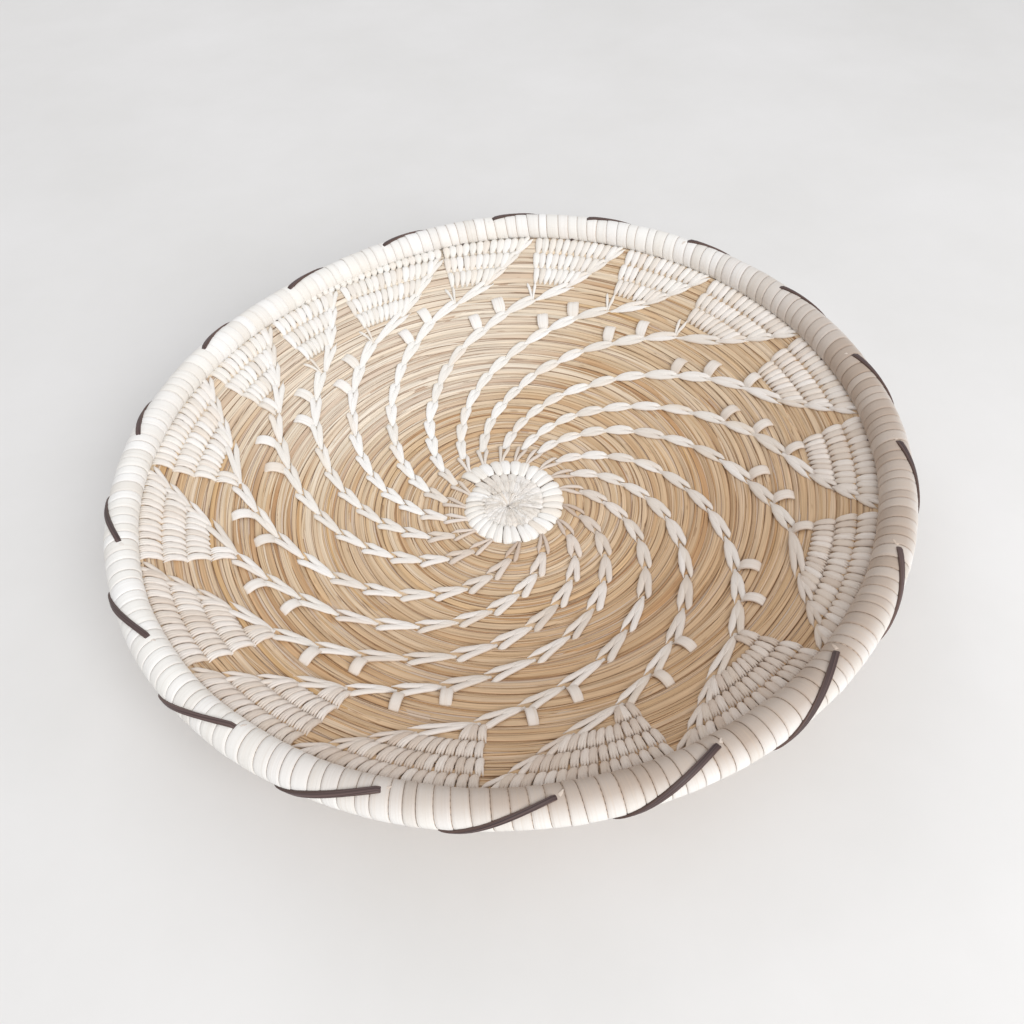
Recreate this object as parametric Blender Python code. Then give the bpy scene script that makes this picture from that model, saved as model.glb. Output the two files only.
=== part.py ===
"""Coiled grass basket: a shallow round tray with a swirl of pale stitches and a laced rim.

One long bundle of grass is wound as a rising spiral around a wrapped start. Seventeen lines
of stitches swirl outward over it and widen into petals below the rim. The rim is a thicker
bundle, wrapped in pale strip, with one dark strip laced around it in a helix.
Metres, +Z up. The origin is on the floor, in the middle of the basket.
"""

import math

import bmesh
import bpy
from mathutils import Vector

# Spiral of grass, in the basket's own polar layout
GRASS_TURNS = 15
STATIONS = 24
START_ANGLE = math.radians(140.0)
START_EDGE_RADIUS = 0.0135
FIRST_ROW_WIDTH = 0.00735
ROW_WIDTH_LOSS = 0.000144

# Height of the upper surface: flat in the middle, then a wall that steepens
FLAT_RADIUS = 0.027
WALL_REACH = 0.083
WALL_RISE = 0.0277
WALL_STEEPNESS = 1.93

# The wall is handmade and out of round: it leans outward on one side, as a mean and three waves
LEAN_START_RADIUS = 0.084
LEAN_REACH = 0.024
LEAN_MEAN = 0.0007
LEAN_WAVES = ((1, 0.00135, math.radians(232.5)), (2, 0.00084, math.radians(219.0)),
              (3, 0.00033, math.radians(82.6)))

# Grass bundle, a six-sided tube whose turns stay apart, cut flat where it stands
BUNDLE_SIDES = 6
COIL_GAP = 0.00055
FLOOR_CUT = 0.0006
TAIL_STATIONS = 3
TAIL_THICKNESS = 0.55
UNWOUND_STATIONS = 3

# Rim bundle, its wrapping and its lacing
RIM_SIDES = 10
WRAP_RADIUS = 0.00475
WRAP_WALL = 0.0006
RIM_SEAT_ANGLE = math.radians(47.0)
RIM_CLOSING_TURN = 0.17
RIM_CLOSED_TURN = 0.01
LACING_TURNS = 18
LACING_WIDTH = 0.0020
LACING_THICKNESS = 0.0007
LACING_FIRST_ANGLE = math.radians(133.5)
LACING_FIRST_CORNER = -3
LACING_OVER_SHARE = 0.70

# Stitched petals on the upper side
PETAL_ANGLES = (124.0, 140.0, 157.0, 179.5, 199.5, 221.0, 240.5, 265.0, 289.5,
                314.5, 342.0, 362.5, 383.5, 405.0, 423.3, 442.0, 461.0)
PETAL_ROWS = 4
PETAL_SPREAD = (0.04, 0.52, 0.73, 0.88, 1.0)
PETAL_SPACE = math.radians(1.5)
PETAL_BARE_SHARE = 0.33
PETAL_FIRST_ROW = 11
SWIRL_STEP = math.radians(7.7)
SWIRL_ROWS = 9
SWIRL_NARROW = 0.0010
SWIRL_WIDE = 0.0019
STITCH_THICKNESS = 0.0005

# Fits
SEAT_GAP = 0.00035
LACING_GAP = 0.0005
END_GAP = 0.0004

TURN = 2.0 * math.pi


def edge_radius(turn):
    """Radius, from the start, of the spiral groove below the row that starts there."""
    return START_EDGE_RADIUS + FIRST_ROW_WIDTH * turn - ROW_WIDTH_LOSS * turn * turn / 2.0


def surface_height(radius):
    """Height of the upper surface above the flat middle."""
    reach = max(0.0, radius - FLAT_RADIUS) / WALL_REACH
    return WALL_RISE * reach ** WALL_STEEPNESS


def surface_slope(radius):
    """Slope angle of the upper surface."""
    reach = max(0.0, radius - FLAT_RADIUS) / WALL_REACH
    return math.atan(WALL_RISE * WALL_STEEPNESS / WALL_REACH * reach ** (WALL_STEEPNESS - 1.0))


def row_pitch(turn):
    """Distance along the surface between a row's middle and the next row's middle."""
    lower = edge_radius(turn + 0.5)
    upper = edge_radius(turn + 1.5)
    return math.hypot(upper - lower, surface_height(upper) - surface_height(lower))


def bundle_radius(turn):
    """Radius to the corners of the six-sided bundle, so that a gap is left between rows."""
    return (row_pitch(turn) - COIL_GAP) / 2.0


def bundle_half_height(turn):
    """Distance from the bundle's middle to its flat top."""
    return bundle_radius(turn) * math.cos(math.pi / BUNDLE_SIDES)


BASE_THICKNESS = 2.0 * bundle_half_height(0.0) - FLOOR_CUT


def angle_at(turn):
    """Polar angle of a place along the spiral."""
    return START_ANGLE + TURN * turn


def outward(angle):
    """Unit vector that points away from the start."""
    return Vector((math.cos(angle), math.sin(angle), 0.0))


def placed(angle, radius, height):
    """Point at an angle, a radius and a height, moved outward as far as the wall leans there."""
    share = min(1.0, max(0.0, radius - LEAN_START_RADIUS) / LEAN_REACH)
    lean = LEAN_MEAN + sum(size * math.cos(order * (angle - peak)) for order, size, peak in LEAN_WAVES)
    point = outward(angle) * (radius + share * lean)
    point.z = height
    return point


def bundle_middle(turn):
    """Radius and height of the bundle's middle at a place along the spiral."""
    radius = edge_radius(turn + 0.5)
    slope = surface_slope(radius)
    half = bundle_half_height(turn)
    height = BASE_THICKNESS + surface_height(radius)
    return radius + half * math.sin(slope), height - half * math.cos(slope), slope


def bundle_ring(turn, thickness=1.0):
    """Corners of the bundle's section at a place along the spiral, in its radial plane.

    A thinner section stays as close to the row below as a full one.
    """
    radius, height, slope = bundle_middle(turn)
    size = bundle_radius(turn) * thickness
    drawn_in = bundle_radius(turn) - size
    radius -= drawn_in * math.cos(slope)
    height -= drawn_in * math.sin(slope)
    angle = angle_at(turn)
    ring = []
    for corner in range(BUNDLE_SIDES):
        turned = TURN * corner / BUNDLE_SIDES + slope
        ring.append(placed(angle, radius + size * math.cos(turned), height + size * math.sin(turned)))
    return ring


def between(first, second, share):
    """Ring that lies a share of the way from one ring to the next."""
    return [a.lerp(b, share) for a, b in zip(first, second)]


def remove_everything():
    """Empty the file of objects, so that the script can run again."""
    for thing in list(bpy.data.objects):
        bpy.data.objects.remove(thing, do_unlink=True)


def make_material(name, color, roughness):
    """Principled material with one plain colour."""
    material = bpy.data.materials.new(name)
    material.use_nodes = True
    shader = material.node_tree.nodes["Principled BSDF"]
    shader.inputs["Base Color"].default_value = (*color, 1.0)
    shader.inputs["Roughness"].default_value = roughness
    shader.inputs["Metallic"].default_value = 0.0
    material.diffuse_color = (*color, 1.0)
    return material


def make_object(name, shape, material, middle, smooth_angle=None):
    """Object of a bmesh, standing on the empty in the middle of the spiral."""
    bmesh.ops.recalc_face_normals(shape, faces=shape.faces)
    mesh = bpy.data.meshes.new(name)
    shape.to_mesh(mesh)
    shape.free()
    mesh.materials.append(material)
    if smooth_angle is not None:
        mesh.shade_smooth()
        mesh.set_sharp_from_angle(angle=smooth_angle)
    thing = bpy.data.objects.new(name, mesh)
    bpy.context.collection.objects.link(thing)
    thing.parent = middle
    return thing


def swept(rings, closed=False):
    """Tube through rings of corners, with flat ends, or closed on itself."""
    shape = bmesh.new()
    corners = [[shape.verts.new(point) for point in ring] for ring in rings]
    sides = len(rings[0])
    count = len(rings)
    for step in range(count if closed else count - 1):
        here = corners[step]
        there = corners[(step + 1) % count]
        for side in range(sides):
            following = (side + 1) % sides
            shape.faces.new((here[side], here[following], there[following], there[side]))
    if not closed:
        shape.faces.new(corners[0])
        shape.faces.new(list(reversed(corners[-1])))
    return shape


def least_gap(rings, stations):
    """Least distance between the corners of one turn and those of the next."""
    least = math.inf
    for step in range(len(rings) - stations + 1):
        for other in range(step + stations - 1, min(step + stations + 2, len(rings))):
            for point in rings[step]:
                least = min(least, min((point - corner).length for corner in rings[other]))
    return least


def cut_flat(thing, cutter):
    """Take off what lies below the floor."""
    cut = thing.modifiers.new("flat_underside", "BOOLEAN")
    cut.operation = "DIFFERENCE"
    cut.solver = "EXACT"
    cut.object = cutter


def make_floor_cutter(middle):
    """Wide block whose top is the floor, used to cut the turns that the basket stands on."""
    half = edge_radius(GRASS_TURNS)
    depth = 0.01
    shape = bmesh.new()
    bmesh.ops.create_cube(shape, size=1.0)
    bmesh.ops.scale(shape, vec=(2.0 * half, 2.0 * half, depth), verts=shape.verts)
    bmesh.ops.translate(shape, vec=(0.0, 0.0, -depth / 2.0), verts=shape.verts)
    cutter = make_object("floor_cutter", shape, None, middle)
    cutter.hide_render = True
    cutter.display_type = "WIRE"
    return cutter


def make_start_knot(middle, material):
    """Wrapped knot that the spiral starts from, a disc whose edge winds out by one row."""
    step = TURN / STATIONS
    outline = []
    for station in range(STATIONS):
        turn = -1.0 + station / STATIONS
        radius = edge_radius(turn + 0.5) - bundle_radius(turn) - SEAT_GAP
        outline.append(outward(angle_at(turn)) * radius)
    last = edge_radius(0.5) - bundle_radius(0.0) - SEAT_GAP
    first = outline[0].length
    outline.append(outward(START_ANGLE - 0.15 * step) * last)
    outline.append(outward(START_ANGLE - 0.35 * step) * first)
    shape = bmesh.new()
    floor = shape.faces.new([shape.verts.new(point) for point in outline])
    walls = bmesh.ops.extrude_face_region(shape, geom=[floor])
    raised = [part for part in walls["geom"] if isinstance(part, bmesh.types.BMVert)]
    bmesh.ops.translate(shape, vec=(0.0, 0.0, BASE_THICKNESS), verts=raised)
    knot = make_object("start_knot", shape, material, middle, math.radians(40.0))
    rounding = knot.modifiers.new("rounded_edge", "BEVEL")
    rounding.width = BASE_THICKNESS / 6.0
    rounding.segments = 2
    rounding.limit_method = "ANGLE"
    rounding.angle_limit = math.radians(60.0)
    return knot


def make_start_ring(middle, material, cutter):
    """First turn of the bundle, wrapped all round in pale strip."""
    rings = [bundle_ring(-1.0 + station / STATIONS) for station in range(STATIONS + 1)]
    share = END_GAP / 2.0 / (rings[-1][0] - rings[-2][0]).length
    rings[-1] = between(rings[-1], rings[-2], share)
    ring = make_object("start_ring", swept(rings), material, middle, math.radians(50.0))
    cut_flat(ring, cutter)
    return ring


def make_grass_coil(middle, material, cutter):
    """The long bare bundle, one unbroken spiral that thins out at its end below the rim."""
    last = GRASS_TURNS * STATIONS - UNWOUND_STATIONS
    rings = []
    for station in range(last + 1):
        tail = max(0, station - (last - TAIL_STATIONS)) / TAIL_STATIONS
        rings.append(bundle_ring(station / STATIONS, 1.0 - (1.0 - TAIL_THICKNESS) * tail))
    print(f"grass coil, least gap to itself: {least_gap(rings, STATIONS) * 1000.0:.2f} mm")
    share = END_GAP / 2.0 / (rings[1][0] - rings[0][0]).length
    rings[0] = between(rings[0], rings[1], share)
    coil = make_object("grass_coil", swept(rings), material, middle, math.radians(50.0))
    cut_flat(coil, cutter)
    return coil


def lacing_inner_radius():
    """Distance from the rim's middle to the corners of the lacing's inner face."""
    return WRAP_RADIUS + LACING_GAP / math.cos(math.pi / RIM_SIDES)


def rim_distance():
    """Distance from the last row's middle to the rim's middle, with the lacing between."""
    flat = math.cos(math.pi / RIM_SIDES)
    return flat * (lacing_inner_radius() + LACING_THICKNESS) + SEAT_GAP + bundle_radius(GRASS_TURNS - 1.0)


def closing_share(place):
    """Share of a row by which the rim has come down, at a place before the spiral's end."""
    share = min(1.0, max(0.0, 1.0 + (place + RIM_CLOSED_TURN) / RIM_CLOSING_TURN))
    return share * share * (3.0 - 2.0 * share)


def rim_middle(station):
    """Radius and height of the rim's middle, which follows the last row.

    Past the grass coil's end it comes down onto the row below, and so closes on itself.
    """
    place = (station % STATIONS) / STATIONS
    if place > 0.5:
        place -= 1.0
    share = closing_share(place)
    radius = 0.0
    height = 0.0
    for weight, turn in ((1.0 - share, GRASS_TURNS + place), (share, GRASS_TURNS - 1.0 + place)):
        row_radius, row_height, _ = bundle_middle(turn)
        radius += weight * row_radius
        height += weight * row_height
    distance = rim_distance()
    return radius + distance * math.cos(RIM_SEAT_ANGLE), height + distance * math.sin(RIM_SEAT_ANGLE)


def rim_point(station, around, size):
    """Point at an angle and a distance from the rim's middle, in a station's radial plane."""
    radius, height = rim_middle(station)
    angle = angle_at(station / STATIONS)
    return placed(angle, radius + size * math.cos(around), height + size * math.sin(around))


def rim_corner_angle(corner):
    """Angle of a corner of the rim's section, with one flat side facing the last row."""
    return RIM_SEAT_ANGLE + math.pi + TURN * (corner + 0.5) / RIM_SIDES


def rim_ring(station, size):
    """Corners of the rim's section in a station's radial plane."""
    return [rim_point(station, rim_corner_angle(corner), size) for corner in range(RIM_SIDES)]


def make_rim_core(middle, material):
    """Thick bundle inside the rim's wrapping."""
    size = WRAP_RADIUS - WRAP_WALL - SEAT_GAP / math.cos(math.pi / RIM_SIDES)
    rings = [rim_ring(station, size) for station in range(STATIONS)]
    return make_object("rim_core", swept(rings, closed=True), material, middle, math.radians(40.0))


def make_rim_wraps(middle, material):
    """Lengths of pale wrapping, one for each station, as short open sleeves end to end."""
    bore = WRAP_RADIUS - WRAP_WALL
    wraps = []
    for station in range(STATIONS):
        outer = [rim_ring(station, WRAP_RADIUS), rim_ring(station + 1, WRAP_RADIUS)]
        inner = [rim_ring(station, bore), rim_ring(station + 1, bore)]
        share = SEAT_GAP / 2.0 / (outer[0][0] - outer[1][0]).length
        rings = []
        for pair, shares in ((outer, (share, 1.0 - share)), (inner, (1.0 - share, share))):
            rings.extend(between(pair[0], pair[1], part) for part in shares)
        name = f"rim_wrap_{station + 1:02d}"
        wraps.append(make_object(name, swept(rings, closed=True), material, middle, math.radians(40.0)))
    return wraps


def lacing_point(turns, size):
    """Point on the lacing's path, a number of turns along its helix round the rim.

    The strip crosses the top of the rim at a long slant and comes back below it on a short one.
    """
    around = rim_corner_angle(LACING_FIRST_CORNER) - TURN * turns
    part = turns % 1.0
    over = 0.5
    if part < over:
        advance = LACING_OVER_SHARE * math.sin(math.pi / 2.0 * part / over)
    else:
        advance = LACING_OVER_SHARE + (1.0 - LACING_OVER_SHARE) * (part - over) / (1.0 - over)
    angle = LACING_FIRST_ANGLE - TURN * (math.floor(turns) + advance) / LACING_TURNS
    station = (angle - START_ANGLE) / TURN * STATIONS
    below = math.floor(station)
    share = station - below
    return rim_point(below, around, size).lerp(rim_point(below + 1, around, size), share)


def make_rim_lacing(middle, material):
    """Dark flat strip, one unbroken helix over the wrapping and between rim and last row."""
    inner = lacing_inner_radius()
    points = LACING_TURNS * RIM_SIDES - 1
    rings = []
    for step in range(points):
        turns = step / RIM_SIDES
        low = lacing_point(turns, inner)
        high = lacing_point(turns, inner + LACING_THICKNESS)
        ahead = lacing_point((step + 0.5) / RIM_SIDES, inner)
        behind = lacing_point(max(0.0, step - 0.5) / RIM_SIDES, inner)
        side = (ahead - behind).cross(high - low).normalized() * (LACING_WIDTH / 2.0)
        rings.append([low - side, low + side, high + side, high - side])
    print(f"rim lacing, least gap to itself: {least_gap(rings, RIM_SIDES) * 1000.0:.2f} mm")
    return make_object("rim_lacing", swept(rings), material, middle, math.radians(40.0))


def skin_point(station, lift):
    """Point over the groove at a place along the spiral, above the tops of the rows beside it."""
    turn = station / STATIONS
    reach = 0.0
    rise = 0.0
    for row, side in ((turn - 1.0, 0.5), (turn, -0.5)):
        radius, height, slope = bundle_middle(row)
        along = side * row_pitch(turn - 1.0)
        up = bundle_half_height(row) + lift
        reach += (radius + along * math.cos(slope) - up * math.sin(slope)) / 2.0
        rise += (height + along * math.sin(slope) + up * math.cos(slope)) / 2.0
    return placed(angle_at(turn), reach, rise)


def make_skin():
    """Thin sheet that follows the tops of all rows, from which the petals are cut."""
    first = STATIONS
    last = (GRASS_TURNS + 1) * STATIONS
    stations = range(first, last + 1)
    shape = bmesh.new()
    layers = []
    for lift in (SEAT_GAP, SEAT_GAP + STITCH_THICKNESS):
        layers.append({station: shape.verts.new(skin_point(station, lift)) for station in stations})
    for layer in layers:
        for station in range(first, last - STATIONS):
            corners = (station, station + 1, station + 1 + STATIONS, station + STATIONS)
            shape.faces.new([layer[corner] for corner in corners])
    rim_edges = [edge for edge in shape.edges if edge.is_boundary]
    lower = set(layers[0].values())
    upper_of = {layers[0][station]: layers[1][station] for station in layers[0]}
    for edge in rim_edges:
        if edge.verts[0] in lower:
            one, two = edge.verts
            shape.faces.new((one, two, upper_of[two], upper_of[one]))
    return shape


def plan_point(turn, angle, aside=0.0):
    """Point in plan at a groove number and an angle, moved aside along the row."""
    radius = edge_radius(turn)
    return placed(angle + aside / radius, radius, 0.0)


def bare_share(turn):
    """Share of the last row that stays bare at the top of a petal, more where the rim comes down."""
    last_row = turn - 1.0 > GRASS_TURNS - 0.5
    return PETAL_BARE_SHARE + (closing_share(turn - 1.0 - GRASS_TURNS) if last_row else 0.0)


def petal_outline(index):
    """Plan of one line of stitches: a chain of short slanted stitches and a stepped triangle."""
    right = math.radians(PETAL_ANGLES[index])
    neighbour = math.radians(PETAL_ANGLES[index - 1]) - (TURN if index == 0 else 0.0)
    width = right - neighbour - PETAL_SPACE
    start = PETAL_FIRST_ROW + (right - START_ANGLE) / TURN
    left_side = []
    right_side = []
    for row in range(SWIRL_ROWS, 0, -1):
        for part, half in ((0.0, SWIRL_NARROW), (0.75, SWIRL_WIDE)):
            back = row - part
            angle = right + SWIRL_STEP * back
            turn = start - back + (angle - right) / TURN
            left_side.append(plan_point(turn, angle, -half))
            right_side.append(plan_point(turn, angle, half))
    for row, spread in enumerate(PETAL_SPREAD):
        angle = right - spread * width
        for side, edge in ((left_side, angle), (right_side, right)):
            groove = start + row + (edge - right) / TURN
            if row == PETAL_ROWS:
                groove -= bare_share(groove)
            side.append(plan_point(groove, edge))
    return left_side + list(reversed(right_side))


def make_petals(middle, material, skin_mesh):
    """Lines of stitches, each cut out of the sheet over the rows by its own outline."""
    petals = []
    top = 2.0 * (BASE_THICKNESS + WALL_RISE)
    for index in range(len(PETAL_ANGLES)):
        shape = bmesh.new()
        corners = [shape.verts.new(point) for point in petal_outline(index)]
        floor = shape.faces.new(corners)
        raised = bmesh.ops.extrude_face_region(shape, geom=[floor])
        walls = [part for part in raised["geom"] if isinstance(part, bmesh.types.BMVert)]
        bmesh.ops.translate(shape, vec=(0.0, 0.0, top), verts=walls)
        outline = make_object(f"petal_outline_{index + 1:02d}", shape, None, middle)
        outline.hide_render = True
        outline.display_type = "WIRE"
        petal = bpy.data.objects.new(f"petal_{index + 1:02d}", skin_mesh.copy())
        bpy.context.collection.objects.link(petal)
        petal.parent = middle
        petal.data.materials.append(material)
        cut = petal.modifiers.new("petal_shape", "BOOLEAN")
        cut.operation = "INTERSECT"
        cut.solver = "EXACT"
        cut.object = outline
        petals.append(petal)
    return petals


def make_middle():
    """Empty at the start of the spiral, placed so that the origin is in the basket's middle."""
    edge = [rim_point(station, 0.0, WRAP_RADIUS) for station in range(STATIONS)]
    across = [point.x for point in edge]
    along = [point.y for point in edge]
    middle = bpy.data.objects.new("spiral_middle", None)
    middle.location = (-(max(across) + min(across)) / 2.0, -(max(along) + min(along)) / 2.0, 0.0)
    bpy.context.collection.objects.link(middle)
    return middle


def main():
    """Build the whole basket."""
    remove_everything()
    grass = make_material("grass", (0.62, 0.42, 0.22), 0.75)
    binding = make_material("binding", (0.84, 0.80, 0.72), 0.70)
    lacing = make_material("lacing", (0.10, 0.065, 0.06), 0.60)
    middle = make_middle()
    cutter = make_floor_cutter(middle)
    make_start_knot(middle, binding)
    make_start_ring(middle, binding, cutter)
    make_grass_coil(middle, grass, cutter)
    make_rim_core(middle, grass)
    make_rim_wraps(middle, binding)
    make_rim_lacing(middle, lacing)
    skin = make_skin()
    bmesh.ops.recalc_face_normals(skin, faces=skin.faces)
    skin_mesh = bpy.data.meshes.new("rows_skin")
    skin.to_mesh(skin_mesh)
    skin.free()
    make_petals(middle, binding, skin_mesh)


main()
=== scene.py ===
"""Dressed look of the coiled grass basket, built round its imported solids."""
import logging
import math
from dataclasses import dataclass, field
from enum import Enum

import bpy
import numpy as np
from mathutils import Matrix, Vector


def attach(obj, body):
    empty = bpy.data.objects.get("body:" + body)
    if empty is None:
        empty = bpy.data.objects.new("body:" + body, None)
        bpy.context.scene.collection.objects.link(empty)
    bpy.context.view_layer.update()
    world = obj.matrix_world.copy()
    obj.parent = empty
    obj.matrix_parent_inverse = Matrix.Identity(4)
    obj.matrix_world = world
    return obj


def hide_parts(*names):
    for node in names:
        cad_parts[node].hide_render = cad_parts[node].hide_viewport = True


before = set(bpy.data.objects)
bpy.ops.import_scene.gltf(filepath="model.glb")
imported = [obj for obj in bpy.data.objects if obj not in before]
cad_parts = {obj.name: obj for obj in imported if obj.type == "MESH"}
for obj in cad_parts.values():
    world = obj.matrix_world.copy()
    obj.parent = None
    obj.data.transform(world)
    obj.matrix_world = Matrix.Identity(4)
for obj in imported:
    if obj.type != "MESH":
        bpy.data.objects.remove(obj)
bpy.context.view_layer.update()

log = logging.getLogger("basket")

Array = np.ndarray
Random = np.random.Generator
Values = tuple[float, ...]
Socket = bpy.types.NodeSocket

FULL_TURN = 2.0 * math.pi
FLOOR_SKIN = 0.0001
IDENT_STEP = 0.381
LONGEST_GRAIN = 5.0
UPWARD = np.array([0.0, 0.0, 1.0])


def smooth_step(share: Array) -> Array:
    """Ease from 0 to 1 over the range from 0 to 1."""
    held = np.clip(share, 0.0, 1.0)
    return held * held * (3.0 - 2.0 * held)


def eased(place: Array, depth: float, start: float, length: float) -> Array:
    """Part of a depth that is eased in from a start over a length."""
    return depth * smooth_step((place - start) / length)


def unit(vectors: Array) -> Array:
    """Vectors scaled to length one along the last axis."""
    return vectors / np.maximum(np.linalg.norm(vectors, axis=-1, keepdims=True), 1e-12)


def sideways(path: Array, facing: Array) -> Array:
    """Unit vectors across strands, from their middles and the way they face."""
    return unit(np.cross(facing, unit(np.gradient(path, axis=1))))


def idents(random: Random, count: int) -> Array:
    """One number from 0 to 1 for each strand, which makes its colour its own."""
    return random.uniform(0.0, 1.0, count)


def grain_starts(random: Random, count: int) -> Array:
    """Length at which each strand's grain starts, so that no two look alike."""
    return random.uniform(0.0, LONGEST_GRAIN, count)


def tint(red: float, green: float, blue: float) -> tuple[float, float, float, float]:
    """Turn a screen colour into the linear colour that a shader takes.

    Args:
        red: Red part from 0 to 255.
        green: Green part from 0 to 255.
        blue: Blue part from 0 to 255.

    Returns:
        Red, green, blue and full cover, each from 0 to 1.
    """
    parts = []
    for part in (red, green, blue):
        level = part / 255.0
        parts.append(level / 12.92 if level <= 0.04045 else ((level + 0.055) / 1.055) ** 2.4)
    return parts[0], parts[1], parts[2], 1.0


class Profile(Enum):
    """Outline of a strand's cross-section, as (across, up) pairs round its closed edge."""

    STEM = ((-1.0, -0.15), (-0.72, 0.62), (0.0, 1.0), (0.72, 0.62), (1.0, -0.15), (0.0, -0.9))
    LEAF = ((-1.0, 0.0), (-0.88, 0.46), (-0.5, 0.86), (0.0, 1.0), (0.5, 0.86), (0.88, 0.46), (1.0, 0.0),
            (0.0, -0.45))
    TAPE = ((-1.0, -0.3), (-0.985, 0.50), (-0.92, 0.86), (-0.5, 0.98), (0.0, 1.0), (0.5, 0.98),
            (0.92, 0.86), (0.985, 0.50), (1.0, -0.3), (0.0, -0.5))


@dataclass(frozen=True)
class Spiral:
    """Layout of the rising spiral that the grass bundle follows, as in the solids."""

    turns: float = 15.0
    start_angle: float = 140.0
    start_edge_radius: float = 0.0135
    first_row_width: float = 0.00735
    row_width_loss: float = 0.000144
    flat_radius: float = 0.027
    wall_reach: float = 0.083
    wall_rise: float = 0.0277
    wall_steepness: float = 1.93
    bundle_sides: int = 6
    coil_gap: float = 0.00055
    floor_cut: float = 0.0006
    middle_x: float = -0.0002
    middle_y: float = 0.000076
    lean_start_radius: float = 0.084
    lean_reach: float = 0.024
    lean_mean: float = 0.0007
    lean_waves: tuple[tuple[int, float, float], ...] = ((1, 0.00135, 232.5), (2, 0.00084, 219.0),
                                                        (3, 0.00033, 82.6))
    fullness: float = 3.2
    overlap: float = 1.12
    crowding: float = 0.15
    # angle at which the painted shade on strips and stems is deepest
    painted_shade_angle: float = 300.0
    floor_clearance: float = 0.00045
    closing_turn: float = 0.17
    closed_turn: float = 0.01
    tail_end: float = 14.985
    tail_share: float = 0.10
    groove_depth: float = 0.0007
    groove_power: float = 3.0

    def edge_radius(self, groove: Array) -> Array:
        """Radius of the spiral groove with that number."""
        return self.start_edge_radius + self.first_row_width * groove - self.row_width_loss * groove ** 2 / 2.0

    def surface_height(self, radius: Array) -> Array:
        """Height of the tops of the rows above the flat middle."""
        reach = np.maximum(0.0, radius - self.flat_radius) / self.wall_reach
        return self.wall_rise * reach ** self.wall_steepness

    def surface_slope(self, radius: Array) -> Array:
        """Slope angle of the upper surface.

        Args:
            radius: Distances from the start of the spiral.

        Returns:
            Angles in radians.
        """
        reach = np.maximum(0.0, radius - self.flat_radius) / self.wall_reach
        steepest = self.wall_rise * self.wall_steepness / self.wall_reach
        return np.arctan(steepest * reach ** (self.wall_steepness - 1.0))

    def row_pitch(self, turn: Array) -> Array:
        """Distance along the surface from one row's middle to the next row's middle.

        Args:
            turn: Places along the spiral, in turns.

        Returns:
            The distances.
        """
        lower = self.edge_radius(turn + 0.5)
        upper = self.edge_radius(turn + 1.5)
        return np.hypot(upper - lower, self.surface_height(upper) - self.surface_height(lower))

    def bundle_radius(self, turn: Array) -> Array:
        """Half of a row's width in the solids."""
        return (self.row_pitch(turn) - self.coil_gap) / 2.0

    def half_height(self, turn: Array) -> Array:
        """Distance from a bundle's middle to its top."""
        return self.bundle_radius(turn) * math.cos(math.pi / self.bundle_sides)

    @property
    def base_thickness(self) -> float:
        """Thickness of the flat middle."""
        return 2.0 * float(self.half_height(np.float64(0.0))) - self.floor_cut

    def angle_at(self, turn: Array) -> Array:
        """Polar angle in degrees at a place along the spiral, in turns."""
        return self.start_angle + 360.0 * turn

    def turn_at(self, theta: Array) -> Array:
        """Share of a turn that an unwound polar angle in degrees is past the start."""
        return (theta - self.start_angle) / 360.0

    def to_world(self, angle: Array, radius: Array, height: Array) -> Array:
        """Points at a polar angle in radians, a radius and a height.

        Args:
            angle: Polar angles about the start of the spiral.
            radius: Distances from the start of the spiral.
            height: Heights above the floor.

        Returns:
            Points with a last axis of three.
        """
        share = np.clip((radius - self.lean_start_radius) / self.lean_reach, 0.0, 1.0)
        lean = self.lean_mean
        for order, size, peak in self.lean_waves:
            lean = lean + size * np.cos(order * (angle - math.radians(peak)))
        leaned = radius + share * lean
        across = leaned * np.cos(angle) + self.middle_x
        along = leaned * np.sin(angle) + self.middle_y
        return np.stack(np.broadcast_arrays(across, along, height), axis=-1)

    def on_middle(self, angle: Array, radius: Array, rise: Array) -> Array:
        """Points over the flat middle, at a polar angle in radians, a radius and a height above it."""
        return self.to_world(angle, radius, self.base_thickness + rise)

    def directions(self, angle: Array, slope: Array) -> tuple[Array, Array]:
        """Unit vectors out along the surface and up from it.

        Args:
            angle: Polar angles in radians.
            slope: Slope angles of the surface in radians.

        Returns:
            The vectors out and the vectors up.
        """
        level = np.zeros_like(angle * slope)
        away = np.stack(np.broadcast_arrays(np.cos(angle), np.sin(angle), level), axis=-1)
        slope = np.broadcast_to(slope, level.shape)[..., None]
        out = away * np.cos(slope) + UPWARD * np.sin(slope)
        up = -away * np.sin(slope) + UPWARD * np.cos(slope)
        return out, up

    def thinning(self, turn: Array) -> Array:
        """Share of its full size that the bundle has, which falls at its end below the rim."""
        share = smooth_step(1.0 + (turn - self.turns + self.closed_turn) / self.closing_turn)
        return 1.0 - (1.0 - self.tail_share) * share

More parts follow.
